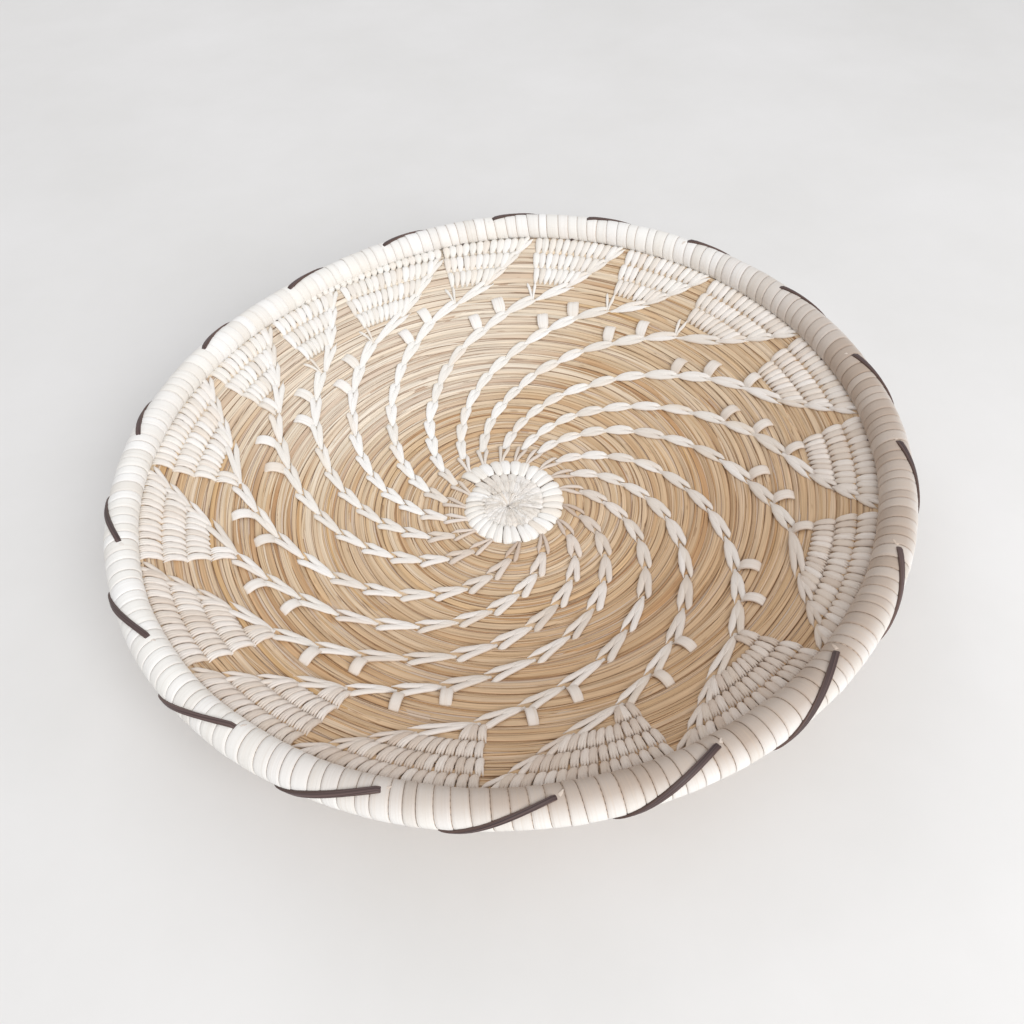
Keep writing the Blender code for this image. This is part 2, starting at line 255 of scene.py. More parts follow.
    def bundle(self, turn: Array, around: Array, inset: Array) -> tuple[Array, Array]:
        """Points on the rounded outline of the bundle.

        Args:
            turn: Place along the spiral, in turns.
            around: Angle round the section in radians, 0 out along the surface and a quarter turn up.
            inset: Distance inside the outline.

        Returns:
            The points, and the unit vectors that face out of the bundle there.
        """
        radius = self.edge_radius(turn + 0.5)
        slope = self.surface_slope(radius)
        half = self.half_height(turn)
        angle = np.radians(self.angle_at(turn))
        size = self.thinning(turn)
        drawn_in = self.bundle_radius(turn) * (1.0 - size)
        out, up = self.directions(angle, slope)
        wide = self.row_pitch(turn) / 2.0 * size * self.overlap
        tall = half * size
        power = self.fullness
        spaced = around - self.crowding * np.sin(2.0 * around)
        cos = np.cos(spaced)
        sin = np.sin(spaced)
        distance = (np.abs(cos / wide) ** power + np.abs(sin / tall) ** power) ** (-1.0 / power)
        across = distance * cos
        rise = distance * sin
        face_out = np.sign(cos) * np.abs(across / wide) ** (power - 1.0) / wide
        face_up = np.sign(sin) * np.abs(rise / tall) ** (power - 1.0) / tall
        length = np.hypot(face_out, face_up)
        across = across - drawn_in - inset * face_out / length
        rise = rise - inset * face_up / length - half
        reach = radius + across * np.cos(slope) - rise * np.sin(slope)
        height = self.base_thickness + self.surface_height(radius)
        height = height + across * np.sin(slope) + rise * np.cos(slope)
        facing = out * (face_out / length)[..., None] + up * (face_up / length)[..., None]
        return self.to_world(angle, reach, height), facing

    def bundle_ring(self, stations: Array, count: int, inset: float) -> tuple[Array, Array]:
        """Paths of strands that stand evenly round the inside of the bundle.

        Args:
            stations: Places along the spiral, in turns.
            count: Number of strands.
            inset: Distance of their middles inside the outline.

        Returns:
            The paths, as strand by station by three, and the unit vectors that they face.
        """
        around = FULL_TURN * (np.arange(count)[:, None] + 0.5) / count + 0.0 * stations
        turn = np.broadcast_to(stations, around.shape)
        path, facing = self.bundle(turn, around, np.full(turn.shape, inset))
        path[..., 2] = np.maximum(path[..., 2], self.floor_clearance + 2.0 * FLOOR_SKIN)
        return path, facing

    def painted_shade(self, theta: Array) -> Array:
        """Painted shade at an angle in degrees, from 0 to 1: how much warmer and darker strips and stems are
        painted, most at the near right and least at the far left.
        """
        return 0.5 + 0.5 * np.cos(np.radians(theta - self.painted_shade_angle))

    def over_rows(self, theta: Array, row: Array, lift: Array,
                  sink: float | None = None) -> tuple[Array, Array]:
        """Points on the tops of the rows, for strips that lie over them.

        Args:
            theta: Unwound polar angle in degrees.
            row: Row number and the share of it that has been crossed outward.
            lift: Height above the tops of the rows.
            sink: Depth of a strip in the grooves between rows, where it isn't the usual one.

        Returns:
            The points, and the unit vectors that face up from the surface.
        """
        sink = self.groove_depth if sink is None else sink
        whole = np.floor(row)
        crossed = row - whole
        turn = whole + self.turn_at(theta)
        radius = self.edge_radius(turn + crossed * self.thinning(turn))
        slope = self.surface_slope(radius)
        angle = np.radians(theta)
        rise = lift - sink * np.abs(2.0 * crossed - 1.0) ** self.groove_power
        _, up = self.directions(angle, slope)
        point = self.to_world(angle, radius, self.base_thickness + self.surface_height(radius))
        return point + up * rise[..., None], up

    def under_row(self, theta: Array, row: Array, lift: float) -> tuple[Array, Array]:
        """Points on the underside of a row, for strips that come back below it.

        Args:
            theta: Unwound polar angle in degrees.
            row: Row number and the share of it that has been crossed outward.
            lift: Distance outside the bundle's outline.

        Returns:
            The points, and the unit vectors that face down from the row.
        """
        whole = np.floor(row)
        crossed = np.clip(row - whole, 0.0, 1.0)
        turn = whole + self.turn_at(theta)
        around = -np.pi * (1.0 - crossed)
        point, facing = self.bundle(turn, around, np.full(turn.shape, -lift))
        point[..., 2] = np.maximum(point[..., 2], self.floor_clearance + FLOOR_SKIN)
        return point, facing


class Bunch:
    """The strands of one piece, gathered and then made into one mesh."""

    HIDDEN_BELOW = -0.4
    HIDDEN_SHARE = 0.35
    LEAST_EDGE = 0.05
    GIRTH_SHARE = 2.6
    LINE_INSET = 0.07
    CELL_MARGIN = 0.01

    def __init__(self, name: str) -> None:
        """Start an empty bunch.

        Args:
            name: Name of the piece.
        """
        self.name = name
        self.points: list[Array] = []
        self.faces: list[Array] = []
        self.lay: list[Array] = []
        self.tone: list[Array] = []
        self.shares: list[Array] = []
        self.finish_index: list[Array] = []
        self.count = 0
        self.segments = 0
        self.length = 0.0
        self.girth = 0.0

    def add(self, path: Array, facing: Array, half_width: Array | float, thickness: Array | float,
            profile: Profile, ident: Array, tone: Array | float = 0.0, closed_ends: bool = True,
            finish: int = 0, start_along: Array | float = 0.0) -> None:
        """Add a set of strands that have the same number of stations.

        Args:
            path: Middles of the strands, as strand by station by three.
            facing: Directions that the strands' upper sides face, in the same layout.
            half_width: Half of each strand's width at each station.
            thickness: Height of each strand's crown at each station.
            profile: Outline of the cross-section.
            ident: One number from 0 to 1 for each strand, or for each strand and station.
            tone: 0 for a strand in its whitest colour, 1 in its warmest and darkest; this holds both its own
                colour and painted shade.
            closed_ends: Whether the ends are drawn together.
            finish: Which of the piece's finishes the strands have.
            start_along: Length at which each strand's own grain starts.
        """
        strands, stations = path.shape[:2]
        half_width = np.broadcast_to(half_width, (strands, stations))
        thickness = np.broadcast_to(thickness, (strands, stations))
        outline = np.array(profile.value)
        lateral = sideways(path, facing)
        lift = np.cross(unit(np.gradient(path, axis=1)), lateral)
        rings = (path[:, :, None, :]
                 + lateral[:, :, None, :] * (half_width[:, :, None] * outline[:, 0])[..., None]
                 + lift[:, :, None, :] * (thickness[:, :, None] * outline[:, 1])[..., None])
        rings[..., 2] = np.maximum(rings[..., 2], FLOOR_SKIN)
        steps = np.linalg.norm(np.diff(path, axis=1), axis=-1)
        run = np.concatenate([np.zeros((strands, 1)), np.cumsum(steps, axis=1)], axis=1)
        along = run + self.each_station(start_along, run.shape)
        ident = self.each_station(ident, run.shape)
        tone = self.each_station(tone, run.shape)
        if closed_ends:
            first = rings[:, :1].mean(axis=2, keepdims=True) + 0.0 * rings[:, :1]
            last = rings[:, -1:].mean(axis=2, keepdims=True) + 0.0 * rings[:, -1:]
            rings = np.concatenate([first, rings, last], axis=1)
            along, ident, tone = (np.concatenate([row[:, :1], row, row[:, -1:]], axis=1)
                                  for row in (along, ident, tone))
        self.keep(rings, along, ident, tone, outline, finish)
        self.length += float(run[:, -1].sum())
        self.girth += float((half_width.mean() * self.GIRTH_SHARE) * strands * (rings.shape[1] - 1))

    @staticmethod
    def each_station(value: Array | float, shape: tuple[int, int]) -> Array:
        """Spread one number, one for each strand or one for each station over strands and stations."""
        value = np.asarray(value)
        return np.broadcast_to(value[:, None] if value.ndim == 1 else value, shape)

    def keep(self, rings: Array, along: Array, ident: Array, tone: Array, outline: Array, finish: int) -> None:
        """Keep the points, faces and surface layout of finished strands.

        Args:
            rings: Points round the strands, as strand by station by side by three.
            along: Length along each strand at each station.
            ident: The strand's own number at each station.
            tone: How warm and dark the strand is painted at each station, from its own colour and painted
                shade.
            outline: Cross-section as pairs of across and up.
            finish: Which of the piece's finishes the strands have.
        """
        shape = rings.shape[:3]
        strands, stations, sides = shape
        lay = np.stack([np.broadcast_to(along[..., None], shape), np.broadcast_to(outline[:, 0], shape),
                        np.broadcast_to(ident[..., None], shape)], axis=-1)
        index = self.count + np.arange(strands * stations * sides).reshape(shape)
        here = index[:, :-1]
        there = index[:, 1:]
        quads = np.stack([here, np.roll(here, -1, axis=2), np.roll(there, -1, axis=2), there], axis=-1)
        edge = np.linalg.norm(np.roll(outline, -1, axis=0) - outline, axis=1) + self.LEAST_EDGE
        edge[outline[:, 1] < self.HIDDEN_BELOW] *= self.HIDDEN_SHARE
        edge[np.roll(outline[:, 1], -1) < self.HIDDEN_BELOW] *= self.HIDDEN_SHARE
        share = np.concatenate([[0.0], np.cumsum(edge)]) / edge.sum()
        low = np.broadcast_to(share[:-1], here.shape).reshape(-1)
        high = np.broadcast_to(share[1:], here.shape).reshape(-1)
        cell = self.segments + np.repeat(np.arange(strands * (stations - 1)), sides)
        self.points.append(rings.reshape(-1, 3))
        self.lay.append(lay.reshape(-1, 3))
        self.tone.append(np.broadcast_to(tone[..., None], shape).reshape(-1))
        self.faces.append(quads.reshape(-1, 4))
        self.shares.append(np.stack([cell, low, high], axis=-1))
        self.finish_index.append(np.full(len(cell), finish))
        self.count += index.size
        self.segments += strands * (stations - 1)

    def unwrapped(self) -> Array:
        """Lay the faces out flat, with the strands side by side in rows of a square.

        Returns:
            The places of the faces' corners, as one row of numbers.
        """
        cells = np.concatenate(self.shares)
        step = self.length / self.segments
        girth = self.girth / self.segments
        per_row = max(1, int(round(math.sqrt(self.segments * girth / step))))
        rows = math.ceil(self.segments / per_row)
        column = cells[:, 0] % per_row
        line = cells[:, 0] // per_row
        filled = 1.0 - 2.0 * self.LINE_INSET
        low = (line + self.LINE_INSET + filled * cells[:, 1]) / rows
        high = (line + self.LINE_INSET + filled * cells[:, 2]) / rows
        left = (column + self.CELL_MARGIN) / per_row
        right = (column + 1.0 - self.CELL_MARGIN) / per_row
        corners = np.stack([left, low, left, high, right, high, right, low], axis=-1)
        return corners.reshape(-1)

    def make(self, finishes: list[bpy.types.Material], nodes: list[str], slot: str) -> None:
        """Make the piece, put it on the basket's body and let it stand for its solids.

        Args:
            finishes: Materials of the piece.
            nodes: Solids that the piece stands for.
            slot: Not used.
        """
        mesh = bpy.data.meshes.new(self.name)
        mesh.from_pydata(np.concatenate(self.points).tolist(), [], np.concatenate(self.faces).tolist())
        layer = mesh.uv_layers.new(name="OFBake")
        layer.uv.foreach_set("vector", self.unwrapped().astype(np.float32))
        lay = mesh.attributes.new("lay", "FLOAT_VECTOR", "POINT")
        lay.data.foreach_set("vector", np.concatenate(self.lay).astype(np.float32).ravel())
        # per-point share of warm, dark colour: each strand's own colour and its painted shade
        tone = mesh.attributes.new("tone", "FLOAT", "POINT")
        tone.data.foreach_set("value", np.concatenate(self.tone).astype(np.float32))
        for finish in finishes:
            mesh.materials.append(finish)
        mesh.polygons.foreach_set("material_index", np.concatenate(self.finish_index).astype(np.int32))
        mesh.shade_smooth()
        mesh.update()
        piece = bpy.data.objects.new(self.name, mesh)
        bpy.context.scene.collection.objects.link(piece)
        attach(piece, "root")
        if nodes:
            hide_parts(*nodes)
        log.info("%s: %d faces", self.name, len(mesh.polygons))


class FinishSketch:
    """A material and its nodes, with short calls for what the finishes use."""

    IDENT_SPREAD = 83.0

    def __init__(self, name: str) -> None:
        """Start a material with a plain shader.

        Args:
            name: Name of the material.
        """
        self.material = bpy.data.materials.new(name)
        self.material.use_nodes = True
        self.tree = self.material.node_tree
        self.shader = self.tree.nodes["Principled BSDF"]

    def node(self, kind: str) -> bpy.types.Node:
        """New node of that kind."""
        return self.tree.nodes.new(kind)

    def feed(self, socket: Socket, value: object) -> None:
        """Set a socket to a number or colour, or link it to an output.

        Args:
            socket: Input that takes the value.
            value: Number, colour or output.
        """
        if isinstance(value, Socket):
            self.tree.links.new(value, socket)
        else:
            socket.default_value = value

    def strand(self) -> tuple[Socket, Socket, Socket]:
        """Read where a point lies on its strand.

        Returns:
            Length along the strand, place across it from -1 to 1, and the strand's own number.
        """
        lay = self.node("ShaderNodeAttribute")
        lay.attribute_name = "lay"
        parts = self.node("ShaderNodeSeparateXYZ")
        self.tree.links.new(lay.outputs["Vector"], parts.inputs[0])
        return parts.outputs[0], parts.outputs[1], parts.outputs[2]

    def tone(self) -> Socket:
        """Read how warm and dark the strand is painted, from its own colour and painted shade.

        Returns:
            Share from 0 to 1 of own warm colour and painted shade together.
        """
        tone = self.node("ShaderNodeAttribute")
        tone.attribute_name = "tone"
        return tone.outputs["Fac"]

    def maths(self, operation: str, first: object, second: object = 0.0,
              third: object = 0.0) -> Socket:
        """Do a sum on numbers or outputs.

        Args:
            operation: Kind of sum.
            first: First number or output.
            second: Second number or output.
            third: Third number or output, for sums that have one.

        Returns:
            The result.
        """
        node = self.node("ShaderNodeMath")
        node.operation = operation
        for socket, value in zip(node.inputs, (first, second, third)):
            self.feed(socket, value)
        return node.outputs[0]

    def vector(self, along: object, across: object, other: object) -> Socket:
        """Join three numbers or outputs to a vector.

        Args:
            along: First part.
            across: Second part.
            other: Third part.

        Returns:
            The vector.
        """
        node = self.node("ShaderNodeCombineXYZ")
        for socket, value in zip(node.inputs, (along, across, other)):
            self.feed(socket, value)
        return node.outputs[0]

    def noise(self, vector: Socket, detail: float = 2.0,
              roughness: float = 0.5) -> Socket:
        """Make a cloudy pattern of about 0.5 with the vector's own scale.

        Args:
            vector: Place in the pattern.
            detail: Number of finer and finer layers.
            roughness: Strength of the finer layers.

        Returns:
            The pattern.
        """
        node = self.node("ShaderNodeTexNoise")
        node.noise_dimensions = "3D"
        self.feed(node.inputs["Vector"], vector)
        node.inputs["Scale"].default_value = 1.0
        node.inputs["Detail"].default_value = detail
        node.inputs["Roughness"].default_value = roughness
        return node.outputs[0]

    def grain(self, along_scale: float, across_scale: float, shift: float,
              detail: float = 2.0) -> Socket:
        """Make streaks that run along the strand and differ from strand to strand.

        Args:
            along_scale: Changes in a metre along the strand.
            across_scale: Changes over half the strand's width.
            shift: Offset that makes this grain differ from others.
            detail: Number of finer and finer layers.

        Returns:
            The pattern.
        """
        along, across, ident = self.strand()
        vector = self.vector(self.maths("MULTIPLY", along, along_scale),
                             self.maths("MULTIPLY", across, across_scale),
                             self.maths("MULTIPLY_ADD", ident, self.IDENT_SPREAD, shift))
        return self.noise(vector, detail)

    def stretch(self, value: Socket, low: float, high: float, to_low: float = 0.0,
                to_high: float = 1.0) -> Socket:
        """Map a range of an output to another range, held at its ends.

        Args:
            value: The output.
            low: Start of its range.
            high: End of its range.
            to_low: Result at the start.
            to_high: Result at the end.

        Returns:
            The result.
        """
        node = self.node("ShaderNodeMapRange")
        node.clamp = True
        self.feed(node.inputs[0], value)
        for socket, number in zip(node.inputs[1:5], (low, high, to_low, to_high)):
            socket.default_value = number
        return node.outputs[0]

    def side(self, across: Socket, start: float, strength: float) -> Socket:
        """Single out the strand's two sides.

        Args:
            across: Place across the strand.
            start: Place from which the side is singled out.
            strength: Result at the very edge.

        Returns:
            A share that rises towards the edges.
        """
        return self.stretch(self.maths("ABSOLUTE", across), start, 1.0, 0.0, strength)

    def ramp(self, share: Socket, stops: list[tuple[float, tuple]]) -> Socket:
        """Turn a share from 0 to 1 into a colour between colour stops.

        Args:
            share: The share.
            stops: Places of the colours, and the colours.

        Returns:
            The colour.
        """
        node = self.node("ShaderNodeValToRGB")
        points = node.color_ramp.elements
        for stop, _ in stops[2:]:
            points.new(stop)
        for point, (stop, color) in zip(points, stops):
            point.position = stop
            point.color = color
        self.feed(node.inputs[0], share)
        return node.outputs[0]

    def mix(self, share: object, first: object, second: object, blend: str = "MIX") -> Socket:
        """Blend two colours.

        Args:
            share: How much of the second colour there is.
            first: First colour.
            second: Second colour.
            blend: Kind of blend.

        Returns:
            The colour.
        """
        node = self.node("ShaderNodeMix")
        node.data_type = "RGBA"
        node.blend_type = blend
        for index, value in ((0, share), (6, first), (7, second)):
            self.feed(node.inputs[index], value)
        return node.outputs[2]

    def bump(self, height: Socket, strength: float, distance: float,
             below: Socket | None = None) -> Socket:
        """Make fine relief from a pattern.

        Args:
            height: The pattern.
            strength: Share of the relief that is shown.
            distance: Height of the relief.
            below: Another relief that this one lies on.

        Returns:
            The surface's direction.
        """
        node = self.node("ShaderNodeBump")
        node.inputs["Strength"].default_value = strength
        node.inputs["Distance"].default_value = distance
        self.feed(node.inputs["Height"], height)
        if below is not None:
            self.feed(node.inputs["Normal"], below)
        return node.outputs[0]

    def dress(self, color: Socket, roughness: Socket,
              normal: Socket, gloss: float) -> bpy.types.Material:
        """Feed the shader.

        Args:
            color: Colour of the surface.
            roughness: Roughness of the surface.
            normal: Direction of the surface with its relief.
            gloss: Level of the surface's shine.

        Returns:
            The finished material.
        """
        self.feed(self.shader.inputs["Base Color"], color)
        self.feed(self.shader.inputs["Roughness"], roughness)
        self.feed(self.shader.inputs["Normal"], normal)
        self.shader.inputs["Specular IOR Level"].default_value = gloss
        return self.material


@dataclass(frozen=True)
class GrassFinish:
    """Dried grass stems: pale straw, with golden and brown ones among them; stems are painted darker and more
    golden where painted shade lies, and paler as a painted sheen where it is least.
    """

    name: str = "dried_grass"
    painted_shade_share: float = 0.0
    gloss: float = 0.22
    gold_and_shade_share: float = 0.72
    painted_sheen_share: float = 0.62
    aged_share: float = 0.24
    scar_share: float = 0.45
    side_share: float = 0.8
    fibre_strength: float = 0.40
    fibre_height: float = 0.00012

    def make(self) -> bpy.types.Material:
        """Build the material.

        Returns:
            The material.
        """
        sketch = FinishSketch(self.name)
        _, across, ident = sketch.strand()
        stem = sketch.ramp(ident, [
            (0.0, tint(176, 132, 94)), (0.06, tint(206, 172, 134)), (0.18, tint(222, 198, 164)),
            (0.45, tint(232, 212, 182)), (0.75, tint(239, 223, 197)), (0.92, tint(245, 232, 211)),
            (0.97, tint(224, 190, 140)), (1.0, tint(196, 150, 106))])
        # golden brown from the stems' own colour and from painted shade
        golden = sketch.mix(sketch.maths("MULTIPLY", sketch.tone(), self.gold_and_shade_share), stem,
                            tint(192, 151, 108))
        # painted sheen: stems with the least painted shade, on the far wall, are painted paler
        painted_sheen = sketch.stretch(sketch.tone(), 0.12, 0.28, self.painted_sheen_share, 0.0)
        pale = sketch.mix(painted_sheen, golden, tint(243, 235, 222))
        drift = sketch.stretch(sketch.grain(9.0, 0.2, 3.0), 0.38, 0.72)
        aged = sketch.mix(sketch.maths("MULTIPLY", drift, self.aged_share), pale, tint(204, 166, 128))
        streaks = sketch.stretch(sketch.grain(60.0, 2.8, 11.0, 4.0), 0.30, 0.72, 0.74, 1.08)
        streaked = sketch.mix(1.0, aged, sketch.vector(streaks, streaks, streaks), "MULTIPLY")
        scars = sketch.stretch(sketch.grain(150.0, 0.7, 29.0, 1.0), 0.70, 0.78)
        marked = sketch.mix(sketch.maths("MULTIPLY", scars, self.scar_share), streaked, tint(128, 86, 52))
        lined = sketch.mix(sketch.side(across, 0.70, self.side_share), marked, tint(150, 104, 70))
        # painted shade: a copy for stems inside a bundle is darkened towards brown
        if self.painted_shade_share > 0.0:
            lined = sketch.mix(self.painted_shade_share, lined, tint(158, 114, 78))
        fibres = sketch.grain(40.0, 6.0, 5.0, 3.0)
        normal = sketch.bump(fibres, self.fibre_strength, self.fibre_height)
        roughness = sketch.stretch(sketch.grain(90.0, 1.5, 17.0), 0.3, 0.7, 0.46, 0.70)
        return sketch.dress(lined, roughness, normal, self.gloss)


@dataclass(frozen=True)
class BindingFinish:
    """Pale split leaf strip: cream white, with fine fibres; painted warmer and darker where painted shade lies,
    with browner edges that are partly wear and partly painted shade in the seams.
    """

    name: str = "pale_strip"
    edge_share: float = 0.34
    spread: float = 1.0
    # how much of the warm colours is left: below 1 paints the whole copy darker as shade
    depth: float = 1.0
    gloss: float = 0.38
    streak_share: float = 0.42
    fibre_strength: float = 0.60
    fibre_height: float = 0.00016
    crease_strength: float = 0.20
    crease_height: float = 0.00010

    def make(self) -> bpy.types.Material:
        """Build the material.

        Returns:
            The material.
        """
        sketch = FinishSketch(self.name)
        _, across, ident = sketch.strand()
        white = sketch.ramp(ident, [(0.0, tint(236, 231, 223)), (0.35, tint(242, 240, 235)),
                                    (0.8, tint(246, 245, 243)), (1.0, tint(239, 231, 220))])
        # warm colours, used for strips with a warmer colour of their own and for strips in painted shade
        warm = sketch.ramp(ident, [(0.0, self.in_painted_shade(196, 175, 157)), (0.4, self.in_painted_shade(207, 189, 174)),
                                   (0.8, self.in_painted_shade(219, 204, 191)), (1.0, self.in_painted_shade(200, 180, 161))])
        strip = sketch.mix(sketch.tone(), white, warm)
        streaks = sketch.stretch(sketch.grain(22.0, 4.6, 7.0, 4.0), 0.50, 0.72)
        # streaks show less on whiter strips, which adds to the painted shade
        streaks = sketch.maths("MULTIPLY", streaks, sketch.stretch(sketch.tone(), 0.0, 0.8, 0.60, 1.0))
        streaked = sketch.mix(sketch.maths("MULTIPLY", streaks, self.streak_share * self.spread), strip,
                              tint(198, 177, 154))
        # browner edges: partly wear, partly painted shade in the seams between strips, and stronger on strips
        # in painted shade
        side = sketch.side(across, 0.70, 1.0)
        wear_and_seam_shade = sketch.stretch(sketch.grain(60.0, 0.5, 19.0), 0.3, 0.65, self.edge_share * 0.4, self.edge_share)
        worn = sketch.maths("MULTIPLY", side, wear_and_seam_shade)
        worn = sketch.maths("MULTIPLY", worn, sketch.stretch(sketch.tone(), 0.0, 0.8, 0.25, 1.0))
        edged = sketch.mix(worn, streaked, tint(158, 122, 88))
        fibres = sketch.grain(26.0, 8.0, 2.0, 4.0)
        creases = sketch.grain(300.0, 1.2, 41.0, 2.0)
        normal = sketch.bump(fibres, self.fibre_strength, self.fibre_height)
        normal = sketch.bump(creases, self.crease_strength, self.crease_height, normal)
        roughness = sketch.stretch(sketch.grain(70.0, 3.0, 23.0), 0.3, 0.7, 0.48, 0.72)
        return sketch.dress(edged, roughness, normal, self.gloss)

    def in_painted_shade(self, red: float, green: float, blue: float) -> tuple[float, float, float, float]:
        """Screen colour of 0 to 255, darkened by this strip's depth of painted shade, as the linear colour that
        a shader takes.
        """
        return tint(red * self.depth, green * self.depth, blue * self.depth)


@dataclass(frozen=True)
class LacingFinish:
    """Near-black split plant strip with paler fibres."""

    name: str = "dark_strip"
    gloss: float = 0.35
    side_share: float = 0.35
    fibre_strength: float = 0.6
    fibre_height: float = 0.00015

    def make(self) -> bpy.types.Material:
        """Build the material.

        Returns:
            The material.
        """
        sketch = FinishSketch(self.name)
        _, across, _ = sketch.strand()
        base = sketch.ramp(sketch.stretch(sketch.grain(18.0, 2.8, 4.0, 4.0), 0.3, 0.72), [
            (0.0, tint(50, 38, 37)), (0.5, tint(76, 60, 58)), (1.0, tint(108, 88, 84))])
        edged = sketch.mix(sketch.side(across, 0.75, self.side_share), base, tint(112, 88, 76))
        fibres = sketch.grain(30.0, 7.0, 13.0, 4.0)
        normal = sketch.bump(fibres, self.fibre_strength, self.fibre_height)
        roughness = sketch.stretch(sketch.grain(60.0, 2.0, 31.0), 0.3, 0.7, 0.42, 0.62)
        return sketch.dress(edged, roughness, normal, self.gloss)


@dataclass(frozen=True)
class FloorFinish:
    """Pale matt paper floor."""

    name: str = "pale_floor"
    gloss: float = 0.2
    cloud_scale: float = 9.0
    relief_strength: float = 0.1
    relief_height: float = 0.0004

    def make(self) -> bpy.types.Material:
        """Build the material.

        Returns:
            The material.
        """
        sketch = FinishSketch(self.name)
        place = sketch.node("ShaderNodeTexCoord").outputs["Object"]
        scaled = sketch.node("ShaderNodeVectorMath")
        scaled.operation = "SCALE"
        scaled.inputs["Scale"].default_value = self.cloud_scale
        sketch.feed(scaled.inputs[0], place)
        clouds = sketch.noise(scaled.outputs[0], 5.0, 0.6)
        color = sketch.ramp(sketch.stretch(clouds, 0.3, 0.7), [(0.0, tint(226, 225, 223)),
                                                               (1.0, tint(233, 232, 231))])
        roughness = sketch.stretch(clouds, 0.3, 0.7, 0.82, 0.92)
        normal = sketch.bump(clouds, self.relief_strength, self.relief_height)
        return sketch.dress(color, roughness, normal, self.gloss)


@dataclass(frozen=True)
class Finishes:
    """All finishes of the basket, made once."""

    grass: bpy.types.Material
    shaded_grass_core: bpy.types.Material
    binding: bpy.types.Material
    wrapping: bpy.types.Material
    lacing: bpy.types.Material

    @classmethod
    def make(cls) -> "Finishes":
        """Build every material of the basket.

        Returns:
            The set of materials.
        """
        # the core's copy of the grass is painted darker as the shade inside the bundle
        core = GrassFinish("shaded_grass_core", painted_shade_share=0.42)
        # the rim's copy of the strip is painted darker as shade, with fewer marks
        rim = BindingFinish("shaded_rim_strip", edge_share=0.22, spread=0.6, depth=0.86)
        return cls(GrassFinish().make(), core.make(), BindingFinish().make(), rim.make(), LacingFinish().make())


class StemKind(Enum):
    """Sorts of stems, each with its share of the usual width, its raise and its greatest number."""

    BROAD = (1.9, 0.00010, 1.0)
    THIN = (0.8, 0.0, 0.20)
    PLAIN = (1.0, 0.0, 1.0)
    LOOSE = (0.62, 0.0, 1.0)


